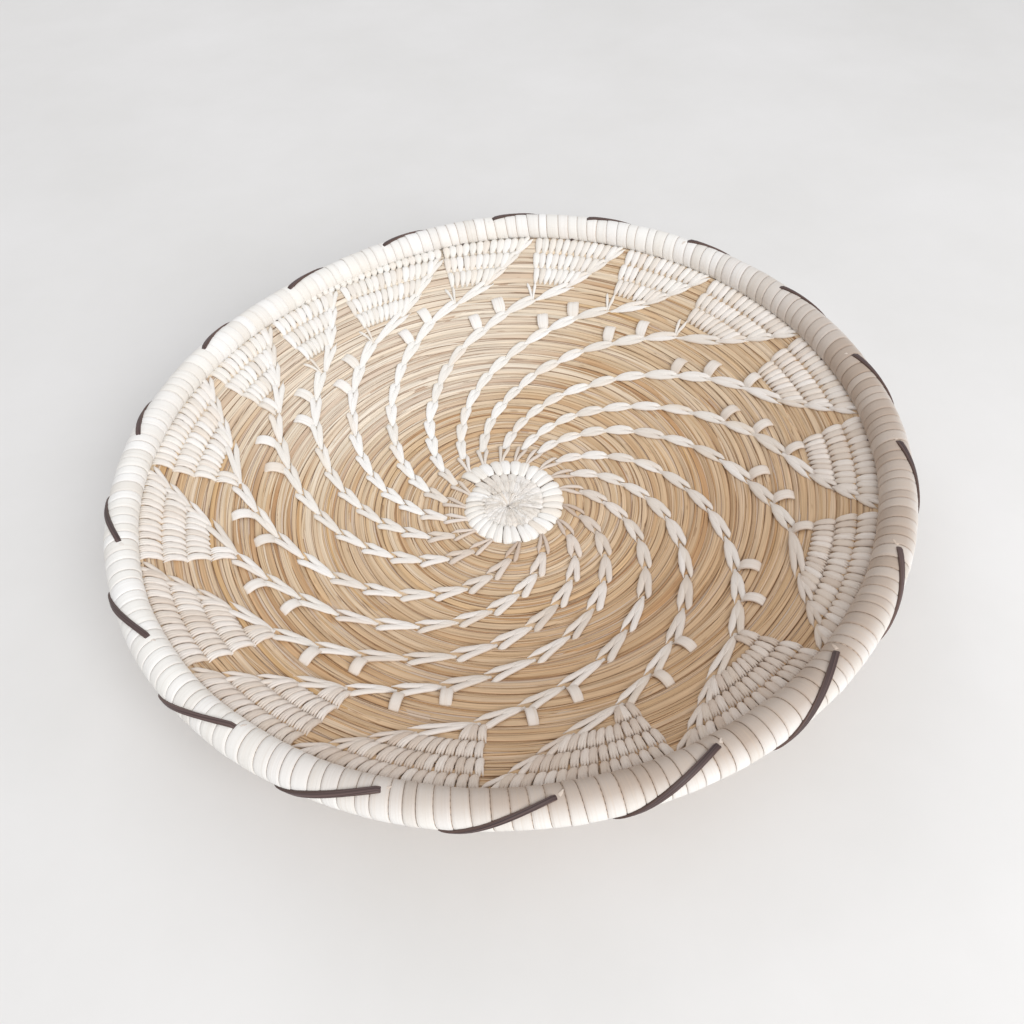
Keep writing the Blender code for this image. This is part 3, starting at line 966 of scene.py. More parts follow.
@dataclass
class GrassTurns:
    """The long bare bundle: turns of loose stems laid side by side round a core that is painted darker as
    shade.
    """

    spiral: Spiral
    turns: int = 15
    slots: int = 27
    loose: int = 5
    station_length: float = 0.0024
    least_stations: int = 8
    least_stem: float = 0.11
    most_stem: float = 0.30
    least_half_width: float = 0.00036
    most_half_width: float = 0.00066
    stem_thickness: float = 0.00017
    taper_length: float = 0.007
    dip: float = 0.00022
    dip_length: float = 0.003
    unevenness: float = 0.00006
    slot_wander: Values = (0.14, 0.20, 0.20)
    slot_waves: Values = (0.034, 0.083, 0.21)
    loose_wander: Values = (0.9, 1.4)
    loose_waves: Values = (0.13, 0.31)
    loose_depth: float = 0.0009
    core_strands: int = 24
    core_inset: float = 0.00028
    core_half_width: float = 0.00080
    core_thickness: float = 0.00016
    tail_width: float = 0.15
    least_gold: float = 0.08
    gold_and_shade_range: float = 0.85
    seed: int = 41
    samples: int = 9000
    table: Array = field(init=False)
    run: Array = field(init=False)
    tracks: list[dict[str, Array]] = field(init=False)

    def __post_init__(self) -> None:
        """Lay out every stem along the whole spiral."""
        self.table = np.linspace(0.0, self.spiral.tail_end, self.samples)
        radius = self.spiral.edge_radius(self.table + 0.5)
        step = np.diff(self.table) * FULL_TURN * (radius[1:] + radius[:-1]) / 2.0
        self.run = np.concatenate([[0.0], np.cumsum(step)])
        random = np.random.default_rng(self.seed)
        kinds = (StemKind.PLAIN, StemKind.BROAD, StemKind.THIN)
        self.tracks = [self.track(random, slot / self.slots, kinds[slot % len(kinds)])
                       for slot in range(self.slots)]
        self.tracks += [self.track(random, 0.25 + 0.16 * (slot / self.loose - 0.5), StemKind.LOOSE)
                        for slot in range(self.loose)]

    def wander(self, random: Random, sizes: Array, waves: Values) -> Array:
        """Slow sideways wander along the spiral, as a sum of waves.

        Args:
            random: Source of seeded variation.
            sizes: Heights of the waves.
            waves: Lengths of the waves.

        Returns:
            The wander at every place of the table.
        """
        total = np.zeros_like(self.run)
        for size, wave in zip(sizes, waves):
            stretch = wave * random.uniform(0.8, 1.25)
            total += size * np.sin(FULL_TURN * self.run / stretch + random.uniform(0.0, 6.28))
        return total

    def track(self, random: Random, place: float, kind: StemKind) -> dict[str, Array]:
        """Lay out one slot's chain of stems along the spiral.

        Args:
            random: Source of seeded variation.
            place: Share of the way round the bundle.
            kind: Sort of stems.

        Returns:
            Place round the bundle, width, lift and number at every place of the table.
        """
        share, raised, most_ident = kind.value
        ident = np.zeros_like(self.run)
        width = np.zeros_like(self.run)
        lift = np.zeros_like(self.run)
        start = -random.uniform(0.0, self.least_stem)
        while start < self.run[-1]:
            length = random.uniform(self.least_stem, self.most_stem)
            inside = (self.run >= start) & (self.run < start + length)
            to_end = np.minimum(self.run - start, start + length - self.run)[inside]
            ident[inside] = random.uniform(0.0, most_ident)
            full = random.uniform(self.least_half_width, self.most_half_width) * share
            width[inside] = full * np.clip(to_end / self.taper_length, 0.12, 1.0) ** 0.5
            lift[inside] = random.normal(raised, self.unevenness) - self.dip * np.exp(-to_end / self.dip_length)
            start += length
        slot = 1.0 / self.slots
        around = place + random.uniform(-0.15, 0.15) * slot
        around = around + self.wander(random, np.array(self.slot_wander) * slot, self.slot_waves)
        if kind is StemKind.LOOSE:
            around = around + self.wander(random, np.array(self.loose_wander) * slot, self.loose_waves)
            shown = smooth_step(self.wander(random, np.array([0.7, 0.6]), (0.17, 0.29)) * 1.6)
            lift = lift + self.dip - self.loose_depth * (1.0 - shown)
        return {"around": FULL_TURN * around, "width": width, "lift": lift, "ident": ident}

    def build(self, finishes: Finishes) -> None:
        """Make one piece for each turn of the bundle.

        Args:
            finishes: The basket's materials.
        """
        for turn in range(self.turns):
            last = min(turn + 1.0, self.spiral.tail_end)
            low, high = np.interp((turn, last), self.table, self.run)
            count = max(self.least_stations, math.ceil((high - low) / self.station_length))
            stations = np.interp(np.linspace(low, high, count), self.run, self.table)
            bunch = Bunch(f"grass_turn_{turn + 1:02d}")
            self.lay_stems(bunch, stations)
            self.lay_core(bunch, stations)
            bunch.make([finishes.grass, finishes.shaded_grass_core], ["grass_coil"] if turn == 0 else [], "grass")

    def narrowing(self, stations: Array) -> Array:
        """Share of their width that stems have, which falls at the end of the bundle."""
        return np.minimum(1.0, self.spiral.thinning(stations) + self.tail_width)

    def lay_stems(self, bunch: Bunch, stations: Array) -> None:
        """Lay the stems of one turn.

        Args:
            bunch: The piece that takes them.
            stations: Places along the spiral, in turns.
        """
        read = {key: np.stack([np.interp(stations, self.table, track[key]) for track in self.tracks])
                for key in ("around", "width", "lift", "ident")}
        turn = np.broadcast_to(stations, read["around"].shape)
        path, facing = self.spiral.bundle(turn, read["around"], self.stem_thickness - read["lift"])
        path[..., 2] = np.maximum(path[..., 2], self.spiral.floor_clearance + self.stem_thickness)
        bunch.add(path, facing, read["width"] * self.narrowing(stations), self.stem_thickness, Profile.STEM,
                  read["ident"], self.gold_and_shade(stations, path),
                  closed_ends=bool(stations[-1] >= self.spiral.tail_end - 0.001),
                  start_along=np.interp(stations[0], self.table, self.run))

    def gold_and_shade(self, stations: Array, path: Array) -> Array:
        """How golden brown the stems are: their own colour, and painted shade that makes them darker towards
        the near right wall and lighter towards the far left wall.

        Args:
            stations: Places along the spiral, in turns.
            path: Paths of the stems.

        Returns:
            A share for each stem and station.
        """
        painted_shade = self.spiral.painted_shade(self.spiral.angle_at(stations))
        wall = smooth_step((stations - 1.0) / 6.0)
        share = self.least_gold + self.gold_and_shade_range * (0.5 + (painted_shade - 0.5) * wall)
        return np.broadcast_to(share, path.shape[:2])

    def lay_core(self, bunch: Bunch, stations: Array) -> None:
        """Lay the stems below the outer ones, painted darker as the shade inside the bundle, as a ring of flat
        strands.

        Args:
            bunch: The piece that takes them.
            stations: Places along the spiral, in turns.
        """
        path, facing = self.spiral.bundle_ring(stations, self.core_strands, self.core_inset)
        ident = (np.arange(self.core_strands) * IDENT_STEP) % 1.0
        bunch.add(path, facing, self.core_half_width * self.narrowing(stations), self.core_thickness,
                  Profile.STEM, ident, closed_ends=False, finish=1)


class Fan(Enum):
    """What stands beside the slanted stitch on a petal's lowest row, by its number of close stitches."""

    FORK = 0
    ARCH = 1
    PAIR = 2
    THREE = 3


@dataclass(frozen=True)
class StitchShape:
    """Sizes of the pale split stitches."""

    thickness: float = 0.00055
    puff: float = 0.00072
    arch_thickness: float = 0.00040
    back_thickness: float = 0.0004
    back_lift: float = 0.00010
    tuck: float = 0.18
    tuck_loss: float = 0.09
    tuck_depth: float = 0.0006
    tuck_length: float = 0.17
    long_reach: float = 1.11
    closed_loss: float = 0.07
    open_loss: float = 0.08
    short_reach: float = 0.965
    tips: Values = (0.0014, 0.0028, 0.0015, 0.0012)
    middles: Values = (0.0026, 0.0036, 0.0037, 0.0038)
    end_width: float = 0.0037
    first_end_width: float = 0.0024
    first_opening: float = 0.0016
    half_lift: float = 0.00030
    whole_lift: float = 0.00036
    point_start: float = 0.72
    point_loss: float = 0.86
    point_dip: Values = (0.0002, 0.94, 0.14)
    round_dip: Values = (0.0004, 0.78, 0.2)
    round_aside: Values = (0.00038, 0.55, 0.42)
    least_aside_opening: float = 0.0004
    bar_width: float = 0.0043
    arch_width: float = 0.0036
    arch_rise: float = 0.0007
    arch_sink: float = 0.0012
    petal_sink: float = 0.0013
    petal_spacing: float = 1.38
    fan_spacing: float = 1.6
    back_width: float = 0.0022
    fan_back_width: float = 0.0024
    arch_back_width: float = 0.0032
    fan_sizes: tuple[Values, ...] = ((0.0018, 0.0038, 0.0038), (0.0014, 0.0022, 0.0022))
    edge_sizes: Values = (0.0016, 0.0032, 0.0030)
    whole_dip: Values = (0.0002, 0.8, 0.2)
    puff_lift: float = 0.00038
    puff_dip: Values = (0.00035, 0.86, 0.14)
    claw_lift: float = 0.00008
    leaf_angle: float = 15.0
    open_angle: float = 75.0
    stations: int = 17
    row_stations: int = 15
    back_stations: int = 11

    def tucked(self, lift: float, crossed: Array, tuck: Array) -> Array:
        """Height of a stitch that comes out of the one below it.

        Args:
            lift: Height of the stitch once it is out.
            crossed: Share of the row that has been crossed.
            tuck: Share of a row by which it starts below.

        Returns:
            The heights.
        """
        return lift - self.tuck_depth * (1.0 - smooth_step((crossed + tuck) / self.tuck_length))


@dataclass
class StitchLine:
    """One curved line of stitches with its petal of close stitches below the rim."""

    spiral: Spiral
    number: int
    right: float
    gap: float
    fan: Fan
    shape: StitchShape = field(default_factory=StitchShape)
    swirl_rows: int = 11
    petal_rows: int = 4
    spread: Values = (0.04, 0.52, 0.74, 0.91, 1.06)
    growth_share: float = 0.50
    bare: float = 1.5
    tail_from: float = 102.0
    tail_to: float = 131.5
    bends: tuple[tuple[float, float, float, float], ...] = (
        (0.0, 0.0, 0.0, 0.0), (1.0, 7.2, 0.0, 0.0), (2.0, 14.5, 0.0, 0.0), (5.0, 39.5, 9.0, 275.0),
        (7.0, 56.5, 13.5, 265.0), (10.0, 83.0, 22.0, 245.0), (11.0, 91.5, 24.0, 245.0))
    seed: int = 700
    bunch: Bunch = field(init=False)
    random: Random = field(init=False)

    def __post_init__(self) -> None:
        """Start the line's piece and its seeded variation."""
        self.bunch = Bunch(f"stitch_line_{self.number:02d}")
        self.random = np.random.default_rng(self.seed + self.number)

    @property
    def apex(self) -> float:
        """Angle at which the swirl meets the petal."""
        return self.right - self.bare

    @property
    def openness(self) -> float:
        """How far apart the prongs stand, which differs round the basket."""
        return float(self.openness_at(np.float64(self.apex)))

    def openness_at(self, theta: Array) -> Array:
        """How far apart the prongs stand at an angle in degrees."""
        return 0.5 - 0.5 * np.cos(np.radians(theta - self.shape.open_angle))

    @property
    def painted_shade(self) -> float:
        """Painted shade of this line's strips: how much warmer and darker they are painted at its angle."""
        return float(self.spiral.painted_shade(np.float64(self.apex)))

    def inner_angle(self, row: Array) -> Array:
        """Angle at which the swirl's stitch starts on each row.

        The bends hold rows left to the petal, angle turned by then, and the extra angle of lines on the
        side of the basket that the last number gives.

        Args:
            row: Numbers of the rows.

        Returns:
            Unwound angles in degrees.
        """
        left, angle, extra, peak = np.array(self.bends).T
        curve = np.polyfit(left, angle + extra * np.cos(np.radians(self.apex - peak)), 3)
        return self.apex + np.polyval(curve, self.swirl_rows - row)

    def build(self, finishes: Finishes) -> None:
        """Make the line's piece.

        Args:
            finishes: The basket's materials.
        """
        self.lay_swirl()
        self.lay_bars()
        self.lay_fan()
        self.lay_petal()
        if self.number == 1:
            self.lay_tail()
        self.bunch.make([finishes.binding], [f"petal_{self.number:02d}"], "binding")

    def lay_split(self, rows: Array, inner: Array, outer: Array, sizes: Array, opens: Array, opening: Array,
                  tone: Array | float) -> None:
        """Lay split stitches, each as a long pointed half and a short rounded half.

        Args:
            rows: Rows that the stitches cross.
            inner: Angles where they start.
            outer: Angles where they reach the next row.
            sizes: Full widths at the tip, the middle and the end, stitch by three.
            opens: Share of the row at which the halves start to part.
            opening: Distance between the halves at the outer end.
            tone: How warm and dark the strips are painted, from their own colour and painted shade.
        """
        shape = self.shape
        count = len(rows)
        tone = np.broadcast_to(tone, (count,))
        ident = idents(self.random, count)
        share = np.linspace(0.0, 1.0, shape.stations)
        middle = (inner + outer)[:, None] / 2.0
        openness = self.openness_at(middle)
        closed = smooth_step(1.3 * np.cos(np.radians(middle - shape.leaf_angle)))
        tuck = shape.tuck - shape.tuck_loss * openness
        long_reach = shape.long_reach - shape.closed_loss * closed - shape.open_loss * openness
        for side, reach in ((-1.0, long_reach), (1.0, shape.short_reach)):
            crossed = -tuck + (reach + tuck) * share
            theta = inner[:, None] + (outer - inner)[:, None] * crossed
            full = self.leaf_width(crossed, sizes, closed, openness)
            parted = smooth_step((crossed - opens[:, None]) / (1.02 - opens[:, None]))
            apart = full / 4.0 * 0.96 + opening[:, None] * parted / 2.0
            half = full / 4.0 * 1.06
            lift = shape.tucked(shape.half_lift, crossed, tuck)
            if side < 0.0:
                pointed = smooth_step((crossed - shape.point_start) / (reach - shape.point_start))
                half = half * (1.0 - shape.point_loss * pointed)
                lift = lift - eased(crossed, *shape.point_dip)
            else:
                half = half * np.sqrt(np.clip((reach + 0.012 - crossed) / 0.13, 0.07, 1.0))
                wide_open = (opening > shape.least_aside_opening)[:, None]
                apart = apart + eased(crossed, *shape.round_aside) * wide_open
                lift = lift - eased(crossed, *shape.round_dip)
            path, facing = self.spiral.over_rows(theta, rows[:, None] + crossed, lift)
            path = path + sideways(path, facing) * (side * apart)[..., None]
            self.bunch.add(path, facing, half, shape.thickness, Profile.LEAF, (ident + 0.06 * side) % 1.0, tone,
                           start_along=grain_starts(self.random, count))
        whole = opens > 0.1
        crossed = -tuck[whole] + (0.30 + tuck[whole] + opens[whole, None] * 0.5) * share
        theta = inner[whole, None] + (outer - inner)[whole, None] * crossed
        full = self.leaf_width(crossed, sizes[whole], closed[whole], openness[whole])
        taper = 1.0 - eased(share, 0.80, 0.55, 0.45)
        lift = shape.tucked(shape.whole_lift, crossed, tuck[whole]) - eased(share, *shape.whole_dip)
        path, facing = self.spiral.over_rows(theta, rows[whole, None] + crossed, lift)
        self.bunch.add(path, facing, full * 0.42 * taper, shape.thickness, Profile.LEAF, ident[whole],
                       tone[whole], start_along=grain_starts(self.random, int(whole.sum())))

    def leaf_width(self, crossed: Array, sizes: Array, closed: Array, openness: Array) -> Array:
        """Full width of split stitches at shares of the row.

        Args:
            crossed: Shares of the row, as stitch by station.
            sizes: Full widths at the tip, the middle and the end, stitch by three.
            closed: 1 for stitches like a leaf, 0 for stitches that are widest at their outer end.
            openness: How far apart the prongs stand.

        Returns:
            The widths, as stitch by station.
        """
        widths = []
        for line, (tip, middle, end), leaf, opened in zip(crossed, sizes, closed[:, 0], openness[:, 0]):
            slim = 1.0 - 0.35 * max(leaf, opened)
            widths.append(np.interp(line, (-self.shape.tuck, -0.03, 0.22, 0.50, 0.80, 1.0), (
                tip * slim, (0.75 * tip + 0.20 * middle) * slim, (0.74 + 0.10 * leaf) * middle,
                (0.94 + 0.12 * leaf) * middle, (1.05 - 0.17 * leaf) * middle, (1.0 - 0.42 * leaf) * end)))
        return np.stack(widths)

    def lay_back(self, inner: Array, outer: Array, row: Array, width: float, tone: float) -> None:
        """Lay the strips that come back below the rows.

        Args:
            inner: Angles where the stitches start.
            outer: Angles where they reach the next row.
            row: Rows that they cross.
            width: Full width of the strips.
            tone: Warmth of the strips.
        """
        share = np.linspace(0.0, 1.0, self.shape.back_stations)
        theta = outer[:, None] + (inner - outer)[:, None] * share
        place = row[:, None] + 0.999 - 0.998 * share
        path, facing = self.spiral.under_row(theta, place, self.shape.back_lift)
        self.bunch.add(path, facing, width / 2.0, self.shape.back_thickness, Profile.LEAF,
                       idents(self.random, len(inner)), tone)

    def lay_swirl(self) -> None:
        """Lay the chain of slanted stitches, one on each row."""
        shape = self.shape
        late = self.inner_angle(np.float64(0.0)) > self.spiral.start_angle + 360.0
        rows = np.arange(-1 if late else 0, self.swirl_rows, dtype=float)
        count = len(rows)
        wander = self.random.normal(0.0, 0.25, count + 1)
        inner = self.inner_angle(rows) + wander[:-1]
        outer = self.inner_angle(rows + 1.0) + wander[1:]
        kind = np.minimum(rows - rows[0], 3.0).astype(int)
        openness = self.openness_at((inner + outer) / 2.0)
        size = self.random.uniform(0.92, 1.08, count) * (1.0 + 0.12 * openness)
        sizes = np.stack([np.array(shape.tips)[kind], np.array(shape.middles)[kind],
                          np.full(count, shape.end_width)], axis=1) * size[:, None]
        opens = np.where(kind == 0, 0.05, 0.74 - 0.40 * openness)
        opening = (0.00014 + 0.00105 * openness) * self.random.uniform(0.75, 1.2, count)
        opening[0] = shape.first_opening
        sizes[0, 2] = shape.first_end_width
        # painted shade by angle, plus the first stitches' own warmer colour and a little random colour
        tone = 0.03 + 0.55 * self.spiral.painted_shade((inner + outer) / 2.0) + np.array([0.42, 0.15, 0.0, 0.0])[kind]
        tone = np.clip(tone + self.random.normal(0.0, 0.05, count), 0.0, 1.0)
        self.lay_split(rows, inner, outer, sizes, opens, opening, tone)
        self.lay_back(inner, outer, rows, shape.back_width, 0.6)

    def lay_bars(self) -> None:
        """Lay the two plain bars that stand beside the last stitches of the swirl."""
        rows = np.array([self.swirl_rows - 2.0, self.swirl_rows - 1.0])
        slant = 0.5 + 0.5 * smooth_step(0.5 + 0.5 * math.cos(math.radians(self.apex - 135.0)))
        inner = self.inner_angle(rows) + np.array([1.5, 1.6]) + self.random.normal(0.0, 0.15, 2)
        self.lay_arches(rows, inner, inner + slant, self.shape.bar_width * (1.0 - 0.22 * self.openness))

    def lay_arches(self, rows: Array, inner: Array, outer: Array, full: float) -> None:
        """Lay single strips that arch loosely over their rows.

        Args:
            rows: Rows that they cross.
            inner: Angles where they start.
            outer: Angles where they reach the next row.
            full: Full width of the strips.
        """
        count = len(rows)
        share = np.linspace(0.0, 1.0, self.shape.row_stations)
        theta = inner[:, None] + (outer - inner)[:, None] * share
        lift = self.shape.half_lift * (1.0 - np.abs(2.0 * share - 1.0) ** 8.0) + 0.0 * theta
        lift = lift + self.shape.arch_rise * np.sin(np.pi * share) ** 0.7
        path, facing = self.spiral.over_rows(theta, rows[:, None] - 0.02 + 1.03 * share, lift,
                                             self.shape.arch_sink)
        width = np.interp(share, (0.0, 0.25, 0.85, 1.0), (0.72, 1.0, 1.0, 0.92))
        half = full / 2.0 * width * self.random.uniform(0.9, 1.06, (count, 1))
        # painted shade: these strips are painted warmer and darker by the line's angle
        self.bunch.add(path, facing, half, self.shape.arch_thickness, Profile.TAPE, idents(self.random, count),
                       0.08 + 0.6 * self.painted_shade, start_along=grain_starts(self.random, count))
        self.lay_back(inner, outer, rows, self.shape.arch_back_width, 0.6)

    def lay_fan(self) -> None:
        """Lay the petal's lowest row: a long slanted split stitch, and what stands beside it."""
        right = self.right
        openness = self.openness
        span = self.spread[1] * (self.gap - self.bare)
        stitches = 2 if self.fan is Fan.FORK else 1
        inner = np.array([right - 2.4, right - 0.4])[:stitches]
        outer = np.array([right - span - 0.2, right])[:stitches]
        rows = np.full(stitches, float(self.swirl_rows))
        sizes = np.array(self.shape.fan_sizes)[:stitches]
        opens = np.array([0.55 - 0.2 * openness, 0.02])[:stitches]
        opening = np.array([0.00045 + 0.0006 * openness, self.shape.first_opening])[:stitches]
        # painted shade: these strips are painted warmer and darker by the line's angle
        self.lay_split(rows, inner, outer, sizes, opens, opening, 0.06 + 0.6 * self.painted_shade)
        self.lay_back(inner, outer, rows, self.shape.fan_back_width, 0.6)
        if self.fan is Fan.ARCH:
            start = np.array([right - 1.7])
            self.lay_arches(rows, start, start + 0.6, self.shape.arch_width)
        elif self.fan is not Fan.FORK:
            wide = self.shape.fan_spacing
            order = np.arange(self.fan.value)
            outer = right - wide * (order + 0.5)
            inner = np.maximum(outer, right - 2.0 - 0.15 * order)
            self.lay_crescents(float(self.swirl_rows), inner, outer, wide * 0.9, wide)

    def lay_petal(self) -> None:
        """Lay the rows of close stitches above the fan, each wider than the row below."""
        right = self.right
        width = self.gap - self.bare
        for step in range(1, self.petal_rows):
            row = float(self.swirl_rows + step)
            span = self.spread[step] * width
            next_span = self.spread[step + 1] * width
            grown = span + self.growth_share * (next_span - span)
            count = max(3, int(round((span + 0.45 * (next_span - span)) / self.shape.petal_spacing)))
            order = (np.arange(count) + (0.62 if step % 2 else 0.38)) / count
            inner = right - span * order + self.random.normal(0.0, 0.07, count)
            outer = right - grown * order + self.random.normal(0.0, 0.07, count)
            self.lay_crescents(row, inner, outer, span / count, grown / count)
            # painted shade: this stitch is painted warmer and darker by the line's angle
            self.lay_split(np.array([row]), np.array([right - span + 0.4]), np.array([right - next_span + 0.2]),
                           np.array([self.shape.edge_sizes]), np.array([0.60 - 0.2 * self.openness]),
                           np.array([0.0003 + 0.0006 * self.openness]), 0.05 + 0.75 * self.painted_shade)

    def lay_tail(self) -> None:
        """Lay the tapering stitches that cover the thin end of the bundle below the rim."""
        step = self.shape.petal_spacing
        theta = np.arange(self.tail_from, self.tail_to, step)
        self.lay_crescents(self.spiral.turns, theta, theta, step, step)

    def lay_crescents(self, row: float, inner: Array, outer: Array, inner_step: float,
                      outer_step: float) -> None:
        """Lay one row of close, puffy stitches, with claws at their outer ends on the near side.

        Args:
            row: Row that they cross.
            inner: Angles where they start.
            outer: Angles where they reach the next row.
            inner_step: Spacing at the start in degrees.
            outer_step: Spacing at the outer end in degrees.
        """
        random = self.random
        count = len(inner)
        share = np.linspace(0.0, 1.0, self.shape.row_stations)
        clawed = idents(random, count) < smooth_step(np.float64(1.7 * self.openness - 0.55))
        # painted shade: warmer and darker by the line's angle, with a little random colour of their own
        tone = np.clip(0.02 + 0.80 * self.painted_shade + random.normal(0.0, 0.05, count), 0.0, 1.0)
        ident = idents(random, count)

        def course(crossed: Array) -> tuple[Array, Array, Array, Array]:
            """Follow the row's stitches.

            Args:
                crossed: Shares of the row.

            Returns:
                Path, facing, width and the shares held between 0 and 1.
            """
            blend = np.clip(crossed, 0.0, 1.0)
            theta = inner[:, None] + (outer - inner)[:, None] * blend - 0.64 * blend * (1.0 - blend)
            lift = self.shape.puff_lift - 0.0004 * (1.0 - smooth_step((crossed + 0.09) / 0.14))
            lift = lift - eased(crossed, *self.shape.puff_dip)
            crossing = row + crossed * 0.99 + 0.0 * theta
            path, facing = self.spiral.over_rows(theta, crossing, lift + 0.0 * theta, self.shape.petal_sink)
            radius = self.spiral.edge_radius(crossing + self.spiral.turn_at(theta))
            step = inner_step + (outer_step - inner_step) * blend
            return path, facing, np.radians(step) * radius, blend

        path, facing, width, blend = course(-0.09 + 1.09 * share)
        plain = np.interp(blend, (0.0, 0.14, 0.40, 0.75, 1.0), (0.50, 0.86, 1.10, 1.06, 0.84))
        narrowed = np.interp(blend, (0.0, 0.14, 0.40, 0.62, 0.84, 1.0), (0.55, 0.86, 1.08, 0.94, 0.44, 0.16))
        size = np.where(clawed[:, None], narrowed, plain) * random.uniform(0.94, 1.04, (count, 1))
        self.bunch.add(path, facing, width * size / 2.0, self.shape.puff, Profile.LEAF, ident, tone,
                       start_along=grain_starts(random, count))
        self.lay_back(inner, outer, np.full(count, row), self.shape.back_width, 0.7)
        if not clawed.any():
            return
        path, facing, width, blend = course(0.36 + 0.68 * share)
        lateral = sideways(path, facing)
        for side in (-1.0, 1.0):
            apart = width * (0.20 + 0.13 * share + 0.03 * side * share)
            half = width * 0.23 * np.interp(share, (0.0, 0.2, 0.6, 1.0), (0.6, 1.0, 0.9, 0.20))
            moved = path + lateral * (side * apart)[..., None] + facing * self.shape.claw_lift
            self.bunch.add(moved[clawed], facing[clawed], half[clawed], self.shape.puff * 0.8, Profile.LEAF,
                           ident[clawed], tone[clawed], start_along=grain_starts(random, int(clawed.sum())))


@dataclass
class StartRing:
    """First turn of the bundle, wrapped all round in pale strips that lie side by side."""

    spiral: Spiral
    strips: int = 33
    stations: int = 15
    inner_share: float = 0.14
    twist: float = 2.4
    widths: tuple[float, float] = (0.0010, 0.0036)
    thickness: float = 0.00075
    lift: float = 0.00022
    sink: float = 0.0011
    back_stations: int = 11
    back_half_widths: tuple[float, float] = (0.0005, 0.0014)
    back_thickness: float = 0.0004
    back_lift: float = 0.00010
    stems: int = 15
    stem_stations: int = 61
    stem_inset: float = 0.0005
    stem_half_width: float = 0.0008
    stem_thickness: float = 0.00028
    seed: int = 9

    def build(self, finishes: Finishes) -> None:
        """Make the ring's piece, with the grass that is seen between its strips.

        Args:
            finishes: The basket's materials.
        """
        random = np.random.default_rng(self.seed)
        bunch = Bunch("start_ring_strips")
        turn = -1.0 + (np.arange(self.strips) + 0.5) / self.strips
        self.lay_strips(bunch, random, turn)
        self.lay_backs(bunch, random, turn)
        # grass between the strips, in the copy that is painted darker as shade
        path, facing = self.spiral.bundle_ring(np.linspace(-1.0, 0.0, self.stem_stations), self.stems,
                                               self.stem_inset)
        bunch.add(path, facing, self.stem_half_width, self.stem_thickness, Profile.STEM,
                  idents(random, self.stems), finish=1)
        bunch.make([finishes.binding, finishes.shaded_grass_core], ["start_ring"], "binding")

    def lay_strips(self, bunch: Bunch, random: Random, turn: Array) -> None:
        """Lay the strips over the ring's top.

        Args:
            bunch: The piece that takes them.
            random: Source of seeded variation.
            turn: Places of the strips along the spiral, in turns.
        """
        share = np.linspace(0.0, 1.0, self.stations)
        theta = self.spiral.angle_at(turn)[:, None] + self.twist * (share - 0.5)
        theta = theta + random.normal(0.0, 0.5, (self.strips, 1))
        starts = self.inner_share + random.normal(0.0, 0.02, (self.strips, 1))
        crossed = starts + (1.02 - starts) * share
        radius = self.spiral.edge_radius(self.spiral.turn_at(theta) + crossed)
        rise = self.lift - self.sink * np.abs(2.0 * crossed - 1.0) ** 3.0
        rise = rise - 0.0002 * (1.0 - smooth_step(share / 0.1))
        path = self.spiral.on_middle(np.radians(theta), radius, rise)
        width = FULL_TURN / self.strips * radius * np.interp(share, (0.0, 0.15, 0.45, 1.0),
                                                             (0.80, 1.02, 1.12, 1.02))
        width = np.clip(width, *self.widths) * random.uniform(0.95, 1.06, (self.strips, 1))
        bunch.add(path, np.broadcast_to(UPWARD, path.shape), width / 2.0, self.thickness, Profile.LEAF,
                  idents(random, self.strips), 0.06, start_along=grain_starts(random, self.strips))

    def lay_backs(self, bunch: Bunch, random: Random, turn: Array) -> None:
        """Lay the strips below the ring.

        Args:
            bunch: The piece that takes them.
            random: Source of seeded variation.
            turn: Places of the strips along the spiral, in turns.
        """
        share = np.linspace(0.0, 1.0, self.back_stations)
        theta = np.broadcast_to(self.spiral.angle_at(turn)[:, None], (self.strips, self.back_stations))
        path, facing = self.spiral.under_row(theta, np.broadcast_to(0.999 - 0.998 * share, theta.shape),
                                             self.back_lift)
        half = np.pi / self.strips * self.spiral.edge_radius(turn)[:, None] * (1.3 - 0.5 * share)
        bunch.add(path, facing, np.clip(half, *self.back_half_widths), self.back_thickness, Profile.LEAF,
                  idents(random, self.strips), 0.4)


